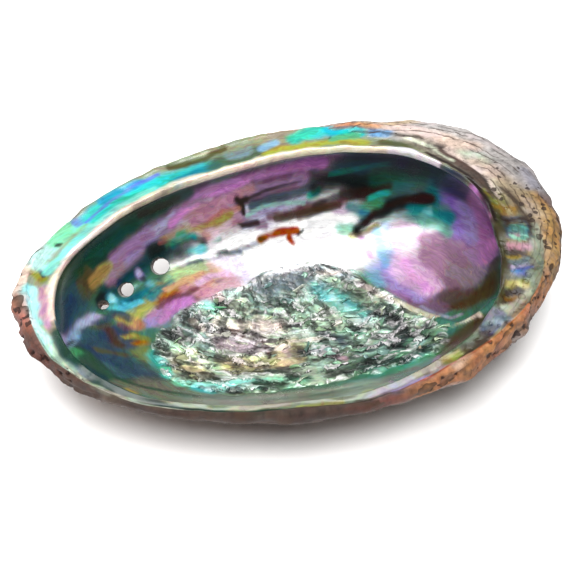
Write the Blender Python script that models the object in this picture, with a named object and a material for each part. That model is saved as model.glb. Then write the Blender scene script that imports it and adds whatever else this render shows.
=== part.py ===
"""An abalone shell lying on its back, as one closed solid.

The hollow faces up (+Z). The head end points to -X, the spire end to +X, and the
row of breathing pores runs along the +Y side. Lengths are metres.

The wall is a loft: at each bearing round the bowl's middle a profile climbs the
outside from the crown, rolls over the rim, crosses the flat inner lip and goes
down the nacre to the middle of the hollow. Relief is then pushed out of that
smooth wall along its normals, and the open pores are bored through it.
"""

import math

import bmesh
import bpy
import numpy as np
from mathutils import Vector, noise

# Driving dimensions
SHELL_LENGTH = 0.163             # overall, in metres: sets the scale of everything below
DRAWN_LENGTH = 163.0             # the length in millimetres that the values below were drawn at
SCALE = SHELL_LENGTH / DRAWN_LENGTH

# All of these are millimetres at the drawn length
BOWL_CENTRE = (4.0, -2.0)        # plan position of the loft's middle
RIM_HEIGHT = 36.5                # of the rim plane over the plan's origin
RIM_SLOPE = math.tan(math.radians(7))  # the pore side of the rim stands higher
FLOOR_HEIGHT = 4.3               # the hollow's lowest point over the crown
CROWN_SHIFT = (9.0, 11.0)        # of the crown and the floor from the loft's middle
WORN_FLAT = 0.8                  # depth of the flat worn on the crown by resting on it
EDGE_THICKNESS = 2.4             # of the inner lip where it ends over the hollow
CEILING_SLOPE = 0.2              # least fall of each row under the inner lip

# Round the rim, every 20 degrees from +X towards +Y:
# reach of the nacre lip, width of the flat inner lip, how far the outside bulges
# past the lip, how far below the lip that bulge is widest, and the hollow's undercut.
STATIONS = (
    (70.2, 12.5, 7.8, 7.0, 8.0),
    (66.6, 6.5, 17.6, 6.0, 12.0),
    (65.2, 7.5, 19.5, 5.5, 13.0),
    (61.4, 11.4, 10.5, 5.5, 9.5),
    (55.8, 11.6, 2.6, 4.5, 5.5),
    (53.2, 12.0, 0.8, 4.0, 3.5),
    (54.0, 11.6, 0.6, 4.0, 2.5),
    (58.8, 11.2, 0.6, 4.0, 1.5),
    (67.6, 10.8, 0.8, 4.0, 0.5),
    (76.2, 8.0, 3.2, 4.0, 0.0),
    (77.8, 5.0, 1.2, 3.0, 0.0),
    (72.6, 2.8, 0.2, 1.6, 0.0),
    (63.8, 2.3, 0.2, 1.6, 0.0),
    (58.8, 2.3, 0.8, 2.0, 0.0),
    (57.4, 2.4, 1.2, 2.2, 0.0),
    (57.6, 3.0, 1.8, 2.5, 0.0),
    (61.2, 5.0, 2.0, 3.0, 1.0),
    (67.4, 10.0, 1.0, 4.5, 4.0),
)

# How full the outside and the hollow are towards the spire, the pores, the head and the
# free lip: 2 is an ellipse, less is nearer a cone, and more is nearer a box.
OUTSIDE_FULLNESS = (2.0, 1.85, 1.6, 1.45)
HOLLOW_FULLNESS = (2.3, 2.35, 1.7, 1.45)

# The spire on the outside. A spiral's radius is e to the power a + b t + c t t, with t
# its angle in radians round the apex.
APEX = (48.0, -6.0)
SUTURE = (1.395, 0.059, 0.07)    # from the apex out to the rim beside the free lip
SUTURE_TURNS = (-4.0, 5.25)      # first and last angle of the suture
PORE_ROW = (2.9, 0.42, 0.045)    # the keel that carries the pores
PORE_ROW_TURNS = (-4.4, 3.42)
CLOSED_PORES = 13                # old pores, filled in and left as pimples
CLOSED_PORE_STEP = 0.135         # radians between them

# Open pores: plan position on the nacre, height, radius at the nacre, and the tilt of the
# bore off the horizontal
OPEN_PORES = (
    (-34.7, 20.6, 18.8, 2.5, 37.0),
    (-45.7, 10.6, 18.8, 2.05, 37.0),
    (-52.8, 3.0, 20.2, 1.45, 48.0),
)
PORE_AZIMUTH = math.radians(80)  # plan direction of the bores, from +X towards +Y

# The groove that runs under the pore row inside, as plan points from the spire end
GROOVE_PATH = ((-8, 38), (-20, 32), (-35, 20.5), (-46, 10.5), (-53, 3), (-60, -10), (-68.5, -29))
GROOVE_NEAR_BANK = ((-22, 22), (-36, 10), (-50, -3), (-62, -25))
GROOVE_FAR_BANK = ((-30, 33), (-41, 23), (-53, 9))

# Outline of the rough patch where the muscle held on, as plan points
SCAR_OUTLINE = (
    (-41, -14), (-36, 0), (-22, 14), (-8, 22), (4, 29), (16, 31), (27, 27), (31, 18),
    (38, 6), (45, -9), (46, -16), (39, -25), (21, -32), (-5, -35), (-22, -36), (-36, -28),
)
SCAR_RISE = 0.7
SCAR_PLATE = (7.5, 3.8)          # size of a plate along and across the shell
SCAR_RELIEF = 1.3

# A thin raised line from the rim across to the scar, and the fold over the spire's hollow
RIDGE_PATH = ((61, -9), (56, -11), (50, -12), (46, -7), (41, 3), (35, 12), (31, 22))
FOLD_PATH = ((32, 41), (37, 43), (44, 45), (51, 45), (56, 42))
CHIP_PATH = ((-2, 37), (5, 39.5), (10, 39.5), (14, 41))

# Knuckles on the inner lip at the spire end: bearing in degrees, and height
KNUCKLES = ((5.5, -1.3), (-2.0, 1.3), (-9.5, -1.2), (-16.5, 1.3), (-25.5, -1.2), (-36.0, 0.8))
KNUCKLE_WIDTH = 3.4              # degrees

# Lumps of crust outside the rim: bearing in degrees, drop below the lip, radius, height
CRUST_LUMPS = (
    (172.0, 3.0, 4.0, 0.5), (185.0, 3.0, 4.5, 1.9), (197.0, 4.0, 4.0, 0.6), (212.0, 3.5, 5.0, 0.3),
    (240.0, 4.5, 4.0, 0.5), (258.0, 4.0, 4.0, 0.6), (22.0, 8.0, 7.0, 1.0), (6.0, 7.0, 6.0, 1.3),
    (326.0, 6.0, 5.0, 0.5), (306.0, 6.0, 5.0, 1.0),
)

# Mesh counts. The crown and the floor are square nets pulled round, RINGS cells from their
# middle to their edge, so each has 8 * RINGS points on its edge to join the rows between.
RINGS = 34
BEARINGS = 8 * RINGS
NET_SHARE = 0.62                 # of the full reach that a net covers
OUTSIDE_ROWS = 26
ROLL_ROWS = 7
SHELF_ROWS = 6
EDGE_ROWS = 3
CEILING_ROWS = 5
HOLLOW_ROWS = 24
TRIANGLES = 9700
BORE_SIDES = 16
BORE_LENGTH = 26.0


def clear_scene():
    for obj in list(bpy.data.objects):
        bpy.data.objects.remove(obj)


def around(column, bearing):
    """A station column at any bearing, by a closed cubic curve through its values."""
    values = np.array([row[column] for row in STATIONS])
    count = len(values)
    place = np.asarray(bearing) / math.tau * count
    index = np.floor(place).astype(int)
    t = place - index
    before, here, there, after = (values[(index + k) % count] for k in (-1, 0, 1, 2))
    return 0.5 * (
        2 * here
        + (there - before) * t
        + (2 * before - 5 * here + 4 * there - after) * t**2
        + (3 * here - before - 3 * there + after) * t**3
    )


def blend_round(bearing, sides):
    """Eases between values for the spire, pore, head and free-lip sides of the shell."""
    spire, pores, head, free = sides
    along, across = math.cos(bearing), math.sin(bearing)
    return (spire if along > 0 else head) * along**2 + (pores if across > 0 else free) * across**2


def smooth(t):
    t = np.clip(t, 0, 1)
    return t * t * (3 - 2 * t)


def bump(distance, width):
    return np.exp(-((distance / width) ** 2))


def bowl_height(share, top, bottom, fullness):
    """Height of a super-ellipse bowl at a share of its full reach."""
    return top - (top - bottom) * max(1 - share**fullness, 0.0) ** (1 / fullness)


def section(bearing):
    """The sizes that draw the wall at one bearing."""
    lip, shelf, bulge, drop, undercut = (float(around(k, bearing)) for k in range(5))
    across = math.sin(bearing)
    inner = lip - shelf
    ridge = min(shelf / 11, 1.0) * 0.9
    inner_z = RIM_HEIGHT + (BOWL_CENTRE[1] + inner * across) * RIM_SLOPE + ridge
    return {
        "lip": lip,
        "lip_z": RIM_HEIGHT + (BOWL_CENTRE[1] + lip * across) * RIM_SLOPE,
        "bulge": bulge,
        "drop": drop,
        "inner": inner,
        "inner_z": inner_z,
        "ridge": ridge,
        "undercut": undercut,
        "edge_drop": EDGE_THICKNESS + 0.55 * undercut + CEILING_SLOPE * CEILING_ROWS,
    }


def outside_point(cut, bearing, share):
    """Reach, height and share of full reach of a point on the outside."""
    fullness = blend_round(bearing, OUTSIDE_FULLNESS)
    reach = cut["lip"] + cut["bulge"]
    return reach * share, bowl_height(share, cut["lip_z"] - cut["drop"], 0.0, fullness), share


def hollow_point(cut, bearing, share):
    """Reach, height and share of full reach of a point in the hollow."""
    fullness = blend_round(bearing, HOLLOW_FULLNESS)
    reach = cut["inner"] + cut["undercut"]
    height = bowl_height(share, cut["inner_z"] - cut["edge_drop"], FLOOR_HEIGHT, fullness)
    return reach * share, height, share


def spread_shares(count):
    """Shares from the edge of a net up to full reach, closer together where the wall is steep."""
    first = math.asin(NET_SHARE)
    return [math.sin(first + (math.pi / 2 - first) * k / count) for k in range(count + 1)]


def row_points(bearing):
    """Every row at one bearing, from the crown's net round to the floor's, as place() takes it."""
    cut = section(bearing)
    rows = [outside_point(cut, bearing, share) for share in spread_shares(OUTSIDE_ROWS)[:-1]]
    for k in range(ROLL_ROWS):
        angle = k / ROLL_ROWS * math.pi / 2
        rows.append((
            cut["lip"] + cut["bulge"] * math.cos(angle),
            cut["lip_z"] - cut["drop"] * (1 - math.sin(angle)),
        ))
    for k in range(SHELF_ROWS):
        t = k / SHELF_ROWS
        dip = cut["ridge"] * 0.8 * math.sin(math.pi * t)
        rise = (cut["inner_z"] - cut["ridge"] - cut["lip_z"]) * t + cut["ridge"] * float(smooth(t))
        rows.append((cut["lip"] + (cut["inner"] - cut["lip"]) * t, cut["lip_z"] + rise - dip))
    for k in range(EDGE_ROWS):
        t = k / EDGE_ROWS
        nose = 0.5 * math.sin(math.pi * t)
        rows.append((cut["inner"] - nose, cut["inner_z"] - EDGE_THICKNESS * t))
    for k in range(CEILING_ROWS):
        angle = k / CEILING_ROWS * math.pi / 2
        fall = 0.55 * cut["undercut"] * (1 - math.cos(angle))
        rows.append((
            cut["inner"] + cut["undercut"] * math.sin(angle),
            cut["inner_z"] - EDGE_THICKNESS - fall - CEILING_SLOPE * k,
        ))
    rows += [hollow_point(cut, bearing, share) for share in reversed(spread_shares(HOLLOW_ROWS))]
    return rows


def place(bearing, reach, height, share=1.0):
    """A wall point. The share of full reach says how far it follows the crown's shift."""
    follow = 1 - share**2
    return (
        BOWL_CENTRE[0] + reach * math.cos(bearing) + CROWN_SHIFT[0] * follow,
        BOWL_CENTRE[1] + reach * math.sin(bearing) + CROWN_SHIFT[1] * follow,
        height,
    )


def net_indices():
    """For each point of a square net, its ring and its place along the ring."""
    found = {}
    for i in range(-RINGS, RINGS + 1):
        for j in range(-RINGS, RINGS + 1):
            ring = max(abs(i), abs(j))
            if i == ring:
                found[i, j] = ring, j + ring
            elif j == ring:
                found[i, j] = ring, 3 * ring - i
            elif i == -ring:
                found[i, j] = ring, 5 * ring - j
            else:
                found[i, j] = ring, 7 * ring + i
    return found


def smooth_wall():
    """Points of the smooth wall, its faces, and each point's row and whether it is in the crown."""
    turns = [math.tau * (k / BEARINGS - 0.125) for k in range(BEARINGS)]
    columns = [row_points(turn) for turn in turns]
    row_count = len(columns[0])
    points, rows, in_crown, faces = [], [], [], []
    for row in range(row_count):
        for turn, column in zip(turns, columns):
            points.append(place(turn, *column[row]))
            rows.append(row)
            in_crown.append(False)
    for row in range(row_count - 1):
        for k in range(BEARINGS):
            here, there = row * BEARINGS + k, row * BEARINGS + (k + 1) % BEARINGS
            faces.append((here, there, there + BEARINGS, here + BEARINGS))

    for surface, edge_row, is_crown in ((outside_point, 0, True), (hollow_point, row_count - 1, False)):
        corner = {}
        for (i, j), (ring, step) in net_indices().items():
            if ring == RINGS:
                corner[i, j] = edge_row * BEARINGS + step % BEARINGS
                continue
            turn = math.tau * (step / (8 * ring) - 0.125) if ring else 0.0
            corner[i, j] = len(points)
            points.append(place(turn, *surface(section(turn), turn, NET_SHARE * ring / RINGS)))
            rows.append(edge_row)
            in_crown.append(is_crown)
        for i in range(-RINGS, RINGS):
            for j in range(-RINGS, RINGS):
                square = (corner[i, j], corner[i + 1, j], corner[i + 1, j + 1], corner[i, j + 1])
                faces.append(square[::-1] if is_crown else square)
    return np.array(points), faces, np.array(rows), np.array(in_crown)


def noise_field(points, size, octaves, seed):
    """Fractal noise of about -1 to 1 with lumps of the given size."""
    offset = Vector((seed * 17.3, seed * -9.1, seed * 5.7))
    flat = points.reshape(-1, 3) / size
    values = [noise.fractal(Vector(p) + offset, 0.9, 2.0, octaves) for p in flat]
    return np.array(values).reshape(points.shape[:-1])


def distance_to_path(x, y, path):
    """Distance from plan points to a chain of segments, and how far along it the foot is."""
    best = np.full(x.shape, 1e9)
    place = np.zeros(x.shape)
    for k, ((x0, y0), (x1, y1)) in enumerate(zip(path, path[1:])):
        dx, dy = x1 - x0, y1 - y0
        t = np.clip(((x - x0) * dx + (y - y0) * dy) / (dx * dx + dy * dy), 0, 1)
        away = np.hypot(x - x0 - t * dx, y - y0 - t * dy)
        nearer = away < best
        best = np.where(nearer, away, best)
        place = np.where(nearer, (k + t) / (len(path) - 1), place)
    return best, place


def inside_outline(x, y, outline):
    """Signed distance into a closed outline: positive inside."""
    away, _ = distance_to_path(x, y, outline + outline[:1])
    crossings = np.zeros(x.shape, dtype=bool)
    for (x0, y0), (x1, y1) in zip(outline, outline[1:] + outline[:1]):
        spans = (y0 > y) != (y1 > y)
        crossings ^= spans & (x < x0 + (y - y0) * (x1 - x0) / (y1 - y0 if y1 != y0 else 1e-9))
    return np.where(crossings, away, -away)


def spiral_distance(x, y, spiral, turns):
    """Radial distance to the nearest pass of a spiral, its radius there, and a fade at its ends."""
    radius = np.hypot(x - APEX[0], y - APEX[1])
    angle = np.arctan2(y - APEX[1], x - APEX[0])
    best = np.full(x.shape, 1e9)
    at = np.ones(x.shape)
    fade = np.zeros(x.shape)
    for turn in (-1, 0, 1):
        t = angle + math.tau * turn
        there = np.exp(spiral[0] + spiral[1] * t + spiral[2] * t * t)
        away = np.where((t >= turns[0]) & (t <= turns[1]), radius - there, 1e9)
        nearer = np.abs(away) < np.abs(best)
        best = np.where(nearer, away, best)
        at = np.where(nearer, there, at)
        fade = np.where(nearer, smooth((turns[1] - t) / 0.4) * smooth((t - turns[0]) / 0.4), fade)
    return best, at, fade


def spiral_point(spiral, t):
    radius = math.exp(spiral[0] + spiral[1] * t + spiral[2] * t * t)
    return APEX[0] + radius * math.cos(t), APEX[1] + radius * math.sin(t)


def scar_plates(points, inside):
    """Overlapping flakes with torn edges, each tipped a little its own way."""
    height = np.zeros(inside.shape)
    for index in np.nonzero(inside > -1)[0]:
        x, y, _ = points[index]
        warp = noise.noise_vector(Vector((x / 9, y / 6, 3.1)))
        u = x / SCAR_PLATE[0] + 0.10 * y / SCAR_PLATE[1] + 0.55 * warp[0]
        v = y / SCAR_PLATE[1] + 0.12 * x / SCAR_PLATE[0] + 0.55 * warp[1]
        spans, centres = noise.voronoi(Vector((u, v, 0.5)))
        centre = centres[0]
        own = noise.noise(centre * 7.3)
        tip = (u - centre[0]) * 0.35 * own + (v - centre[1]) * 0.5
        crack = float(smooth((spans[1] - spans[0]) / 0.22))
        height[index] = (0.45 + 0.45 * own + 0.55 * tip) * crack
    return height


def hollow_relief(points):
    """Relief of the nacre in millimetres."""
    x, y = points[..., 0], points[..., 1]
    inside = inside_outline(x, y, SCAR_OUTLINE) + 1.6 * noise_field(points, 7, 2, 5)
    on_scar = smooth(inside / 2.2 + 0.3)
    height = on_scar * (SCAR_RISE + SCAR_RELIEF * (scar_plates(points, inside) - 0.35))

    away, place = distance_to_path(x, y, GROOVE_PATH)
    fade = smooth(place / 0.25)
    height = height - 1.5 * fade * bump(away, 4.2)
    for px, py, _, radius, _ in OPEN_PORES:
        span = np.hypot(x - px, y - py)
        height = height - 0.7 * bump(span, radius * 1.7)
    between = distance_to_path(x, y, GROOVE_NEAR_BANK)[0]
    height = height + 0.7 * bump(between, 3.6)
    hump = distance_to_path(x, y, GROOVE_FAR_BANK)[0]
    height = height + 0.8 * bump(hump, 3.4)

    height = height + 0.9 * bump(distance_to_path(x, y, RIDGE_PATH)[0], 1.3)
    height = height - 0.9 * bump(distance_to_path(x, y, FOLD_PATH)[0], 2.2)
    height = height + 0.8 * bump(distance_to_path(x, y, CHIP_PATH)[0], 1.5)
    return height + 0.35 * (1 - on_scar) * noise_field(points * (0.6, 1.0, 1.0), 14, 2, 2)


def outside_relief(points):
    """Relief of the crust in millimetres."""
    x, y = points[..., 0], points[..., 1]
    span = np.hypot(x - APEX[0], y - APEX[1])
    away, at, fade = spiral_distance(x, y, SUTURE, SUTURE_TURNS)
    width = 0.6 + at * 0.05
    ledge = bump(np.minimum(away, 0), 1.5 + at * 0.22) * (1 - smooth(away / (2 * width) + 0.5))
    height = fade * (ledge * (0.8 + 0.03 * at) - (0.4 + at * 0.02) * bump(away - width, width))
    height = height + 2.6 * bump(span, 9) + 1.1 * bump(span, 3)

    away, at, fade = spiral_distance(x, y, PORE_ROW, PORE_ROW_TURNS)
    height = height + fade * (0.5 + at * 0.02) * bump(away, 0.8 + at * 0.055)
    first = math.atan2(22.5 - APEX[1], -34.5 - APEX[0])
    for k in range(CLOSED_PORES):
        t = first - CLOSED_PORE_STEP * (k + 1)
        px, py = spiral_point(PORE_ROW, t)
        size = 3.1 * math.exp(-0.085 * k)
        gap = np.hypot(x - px, y - py)
        height = height + 0.42 * size * (bump(gap, size) - 0.55 * bump(gap, size * 0.42))

    growth = span / np.maximum(span_to_rim(x, y), 1)
    step = growth * 9 + 0.25 * noise_field(points, 30, 2, 8)
    terrace = (step - np.floor(step)) ** 3
    height = height + 0.75 * terrace * smooth((growth - 0.25) / 0.2)
    crust = noise_field(points, 11, 3, 1)
    return height + 0.8 * crust


def span_to_rim(x, y):
    """Distance from the apex to the rim along the line through each plan point."""
    angle = np.arctan2(y - APEX[1], x - APEX[0])
    bearings = np.linspace(0, math.tau, 181)
    reach = around(0, bearings) + around(2, bearings)
    rim_x = BOWL_CENTRE[0] + reach * np.cos(bearings) - APEX[0]
    rim_y = BOWL_CENTRE[1] + reach * np.sin(bearings) - APEX[1]
    order = np.argsort(np.arctan2(rim_y, rim_x))
    return np.interp(angle, np.arctan2(rim_y, rim_x)[order], np.hypot(rim_x, rim_y)[order])


def knuckle_relief(points):
    """Knuckles on the inner lip at the spire end."""
    bearing = np.degrees(np.arctan2(points[:, 1] - BOWL_CENTRE[1], points[:, 0] - BOWL_CENTRE[0]))
    return sum(rise * bump(bearing - at, KNUCKLE_WIDTH) for at, rise in KNUCKLES)


def lump_relief(points):
    """Lumps of crust hanging outside the rim."""
    height = np.zeros(len(points))
    for at, drop, radius, rise in CRUST_LUMPS:
        turn = math.radians(at) % math.tau
        cut = section(turn)
        middle = place(turn, cut["lip"] + cut["bulge"] * 0.8, cut["lip_z"] - drop)
        gap = np.linalg.norm(points - middle, axis=1)
        height = height + rise * bump(gap, radius)
    return height


def relief(points, rows):
    """Height of the relief at every point of the wall, in millimetres."""
    height = np.zeros(len(points))
    lip_row = OUTSIDE_ROWS + ROLL_ROWS
    hollow_row = lip_row + SHELF_ROWS + EDGE_ROWS + CEILING_ROWS
    outer = rows <= lip_row
    span = np.hypot(*(points[outer, :2] - BOWL_CENTRE - np.array(CROWN_SHIFT)).T)
    to_lip = 0.3 + 0.7 * smooth((lip_row - rows[outer]) / 8)
    height[outer] = outside_relief(points[outer]) * to_lip * (0.25 + 0.75 * smooth((span - 8) / 14))
    height[outer] += lump_relief(points[outer])

    shelf = (rows >= lip_row - 2) & (rows < hollow_row)
    middle = bump(rows[shelf] - lip_row - SHELF_ROWS / 2, SHELF_ROWS * 0.55)
    height[shelf] += middle * (knuckle_relief(points[shelf]) + 0.4 * noise_field(points[shelf], 9, 2, 4))

    inner = rows >= hollow_row
    from_edge = smooth((rows[inner] - hollow_row) / 7)
    height[inner] += hollow_relief(points[inner]) * from_edge
    return height


def wavy_rim(points, rows, in_crown):
    """Makes the rim's edge uneven and dips it where the pore row runs out."""
    lip_row = OUTSIDE_ROWS + ROLL_ROWS
    bearing = np.arctan2(points[:, 1] - BOWL_CENTRE[1], points[:, 0] - BOWL_CENTRE[0])
    edge = np.stack([np.cos(bearing) * 60, np.sin(bearing) * 60, bearing * 0], axis=1)
    near_lip = np.where(in_crown, 0, bump(rows - lip_row - 1, 8))
    notch = bump(np.hypot(points[:, 0] + 71, points[:, 1] + 30), 6)
    points = points.copy()
    points[:, 2] += near_lip * (0.7 * noise_field(edge, 14, 3, 11) - 1.2 * notch)
    return points


def build_wall(name, points, faces, collection):
    data = bpy.data.meshes.new(name)
    data.from_pydata(points.tolist(), [], faces)
    data.update()
    obj = bpy.data.objects.new(name, data)
    collection.objects.link(obj)
    return obj


def push_out(obj, rows):
    """Moves every point along the wall's normal by the relief, then wears the crown flat."""
    data = obj.data
    points = np.array([vertex.co for vertex in data.vertices])
    normals = np.array([vertex.normal for vertex in data.vertices])
    points = points + normals * relief(points, rows)[:, None]
    points[:, 2] = np.maximum(points[:, 2], WORN_FLAT) - WORN_FLAT
    data.vertices.foreach_set("co", (points * SCALE).ravel())
    data.update()


def add_bore(name, pore, collection):
    """A tapered peg along one open pore, wider towards the nacre."""
    x, y, z, radius, tilt = pore
    tilt = math.radians(tilt)
    way = Vector((
        math.cos(tilt) * math.cos(PORE_AZIMUTH),
        math.cos(tilt) * math.sin(PORE_AZIMUTH),
        -math.sin(tilt),
    ))
    mesh = bmesh.new()
    bmesh.ops.create_cone(
        mesh, cap_ends=True, segments=BORE_SIDES,
        radius1=radius * 1.25 * SCALE, radius2=radius * 0.85 * SCALE, depth=BORE_LENGTH * SCALE,
    )
    data = bpy.data.meshes.new(name)
    mesh.to_mesh(data)
    mesh.free()
    obj = bpy.data.objects.new(name, data)
    obj.location = (Vector((x, y, z)) + way * 3.0) * SCALE
    obj.rotation_euler = way.to_track_quat("Z", "Y").to_euler()
    obj.hide_render = True
    obj.display_type = "WIRE"
    collection.objects.link(obj)
    return obj


def centre_plan(shell, bores):
    """Moves the shell and its bores so that its bounding box is centred on the Z axis."""
    corners = np.array(shell.evaluated_get(bpy.context.evaluated_depsgraph_get()).bound_box)
    middle = (corners.min(axis=0) + corners.max(axis=0)) / 2
    for obj in (shell, *bores):
        obj.location.x -= middle[0]
        obj.location.y -= middle[1]


def nacre_material():
    material = bpy.data.materials.new("nacre_and_crust")
    material.use_nodes = True
    shader = material.node_tree.nodes["Principled BSDF"]
    shader.inputs["Base Color"].default_value = (0.30, 0.38, 0.36, 1)
    shader.inputs["Roughness"].default_value = 0.3
    material.diffuse_color = (0.30, 0.38, 0.36, 1)
    return material


def main():
    clear_scene()
    scene = bpy.context.scene
    shell_parts = bpy.data.collections.new("abalone_shell")
    cutters = bpy.data.collections.new("cutters")
    scene.collection.children.link(shell_parts)
    scene.collection.children.link(cutters)

    points, faces, rows, in_crown = smooth_wall()
    shell = build_wall("shell", wavy_rim(points, rows, in_crown), faces, shell_parts)
    push_out(shell, rows)
    shell.data.materials.append(nacre_material())

    bores = [add_bore(f"pore_bore_{k + 1}", pore, cutters) for k, pore in enumerate(OPEN_PORES)]
    for bore in bores:
        cut = shell.modifiers.new(bore.name, "BOOLEAN")
        cut.operation = "DIFFERENCE"
        cut.solver = "EXACT"
        cut.object = bore
    fewer = shell.modifiers.new("fewer_triangles", "DECIMATE")
    fewer.ratio = TRIANGLES / (2 * len(shell.data.polygons))
    centre_plan(shell, bores)


main()
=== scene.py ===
# %% [markdown]
# # An abalone shell lying on its back
# An abalone grows one plate of shell and never a second piece, so this lesson makes one
# main mesh: a deep nacre hollow, a wide inner lip and a rough crust behind it. The packed
# solid gives the size and the place. It is drawn again here with many more points, because
# nacre shows every dent in its reflections.

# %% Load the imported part
import math

import bpy
import numpy as np
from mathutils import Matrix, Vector, noise
from mathutils.bvhtree import BVHTree
from mathutils.kdtree import KDTree


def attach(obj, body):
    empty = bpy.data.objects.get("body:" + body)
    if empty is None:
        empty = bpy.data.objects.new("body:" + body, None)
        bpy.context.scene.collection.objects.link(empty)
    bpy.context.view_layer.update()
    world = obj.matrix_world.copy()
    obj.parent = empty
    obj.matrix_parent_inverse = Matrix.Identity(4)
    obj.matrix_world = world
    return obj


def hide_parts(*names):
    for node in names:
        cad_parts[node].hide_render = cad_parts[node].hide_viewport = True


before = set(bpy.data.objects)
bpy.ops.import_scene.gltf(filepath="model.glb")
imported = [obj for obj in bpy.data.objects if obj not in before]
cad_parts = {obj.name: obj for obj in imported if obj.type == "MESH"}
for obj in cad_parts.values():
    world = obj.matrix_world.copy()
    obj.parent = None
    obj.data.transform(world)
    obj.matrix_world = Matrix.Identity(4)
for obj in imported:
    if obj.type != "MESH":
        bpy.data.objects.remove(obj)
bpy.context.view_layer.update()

# %% [markdown]
# ## The camera
# The shell was photographed from above and in front, with a long lens that keeps its outline
# nearly without perspective. The camera sits on a line from the middle of the shell, given
# by two angles and a distance, which is easier to adjust than three coordinates.

# %% Camera
CAMERA_AZIMUTH = math.radians(-10)
CAMERA_ELEVATION = math.radians(37)
CAMERA_DISTANCE = 0.393
CAMERA_LENS = 85.0
CAMERA_TARGET = Vector((-0.00377, 0.00056, 0.022))


def direction(azimuth, elevation):
    """Unit vector from the shell towards a place in the studio; azimuth 0 is in front."""
    return Vector((
        math.sin(azimuth) * math.cos(elevation),
        -math.cos(azimuth) * math.cos(elevation),
        math.sin(elevation),
    ))


def aim(obj, target):
    """Turns a camera or lamp so that it looks at the target."""
    obj.rotation_euler = (target - obj.location).to_track_quat("-Z", "Y").to_euler()


camera = bpy.data.objects.new("camera", bpy.data.cameras.new("camera"))
camera.data.lens = CAMERA_LENS
camera.data.clip_start = 0.01
camera.location = CAMERA_TARGET + direction(CAMERA_AZIMUTH, CAMERA_ELEVATION) * CAMERA_DISTANCE
aim(camera, CAMERA_TARGET)
bpy.context.scene.collection.objects.link(camera)
bpy.context.scene.camera = camera
print("camera at", [round(v, 3) for v in camera.location])

# %% [markdown]
# ## Floor and light
# The shell stands on a white sweep under soft light. Nacre is a mirror for whatever is over
# it, so one large soft lamp overhead draws the bright streak down the middle of the hollow.
# A key lamp in front reaches under the rim, which keeps the shadow short, and the nacre
# doesn't mirror it. Where only one lamp reaches, the paper stays light, so the dark part of
# the shadow lies close under the shell. The world is split by the kind of ray: the camera
# sees white, mirrored rays see a dark grey, and surfaces get hardly any light from it.

# %% Floor and light
FLOOR_SIZE = 8.0
PAPER_COLOUR = (0.93, 0.925, 0.92, 1)
WORLD_LIGHT = 0.08       # strength of the world for surfaces, and for mirrored rays
WORLD_MIRRORED = 0.13
KEY_POWER, STREAK_POWER = 11.5, 7.6      # watts


def add_floor():
    """A wide sheet of white paper."""
    data = bpy.data.meshes.new("floor")
    half = FLOOR_SIZE / 2
    corners = [(-half, -half, 0), (half, -half, 0), (half, half, 0), (-half, half, 0)]
    data.from_pydata(corners, [], [(0, 1, 2, 3)])
    floor = bpy.data.objects.new("floor", data)
    bpy.context.scene.collection.objects.link(floor)
    paper = bpy.data.materials.new("white_sweep")
    paper.use_nodes = True
    shader = paper.node_tree.nodes["Principled BSDF"]
    shader.inputs["Base Color"].default_value = PAPER_COLOUR
    shader.inputs["Roughness"].default_value = 0.9
    shader.inputs["Specular IOR Level"].default_value = 0.1
    data.materials.append(paper)
    return floor


def add_softbox(name, azimuth, elevation, distance, size, power):
    """A square soft lamp that faces the shell."""
    lamp = bpy.data.lights.new(name, "AREA")
    lamp.shape = "RECTANGLE"
    lamp.size, lamp.size_y = size
    lamp.energy = power
    obj = bpy.data.objects.new(name, lamp)
    obj.location = CAMERA_TARGET + direction(math.radians(azimuth), math.radians(elevation)) * distance
    aim(obj, CAMERA_TARGET)
    bpy.context.scene.collection.objects.link(obj)
    return obj


def split_world():
    """White to the camera, a dark grey in reflections and nearly dark to surfaces."""
    world = bpy.data.worlds.new("studio")
    bpy.context.scene.world = world
    world.use_nodes = True
    nodes, links = world.node_tree.nodes, world.node_tree.links
    nodes.clear()
    path = nodes.new("ShaderNodeLightPath")
    output = nodes.new("ShaderNodeOutputWorld")
    mirrored, seen = nodes.new("ShaderNodeMixShader"), nodes.new("ShaderNodeMixShader")
    shades = []
    for strength in (WORLD_LIGHT, WORLD_MIRRORED, 1.0):
        shade = nodes.new("ShaderNodeBackground")
        shade.inputs["Color"].default_value = (1, 1, 1, 1)
        shade.inputs["Strength"].default_value = strength
        shades.append(shade)
    links.new(path.outputs["Is Glossy Ray"], mirrored.inputs[0])
    links.new(shades[0].outputs[0], mirrored.inputs[1])
    links.new(shades[1].outputs[0], mirrored.inputs[2])
    links.new(path.outputs["Is Camera Ray"], seen.inputs[0])
    links.new(mirrored.outputs[0], seen.inputs[1])
    links.new(shades[2].outputs[0], seen.inputs[2])
    links.new(seen.outputs[0], output.inputs["Surface"])


add_floor()
split_world()
key = add_softbox("key", -14, 52, 0.9, (0.45, 0.30), KEY_POWER)
key.visible_glossy = False
add_softbox("streak", 180, 84, 0.75, (0.95, 0.34), STREAK_POWER)
bpy.context.scene.view_settings.view_transform = "Standard"

# %% [markdown]
# ## The shape's own numbers
# The shell is drawn as a loft. At each bearing round the bowl a profile climbs the crust
# from the crown, rolls over the rim, crosses the inner lip and runs down the nacre. Eighteen
# stations round the rim hold the sizes, and a closed curve fills the bearings between. These
# are the same numbers as the solid's, so the two shapes agree.

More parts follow.
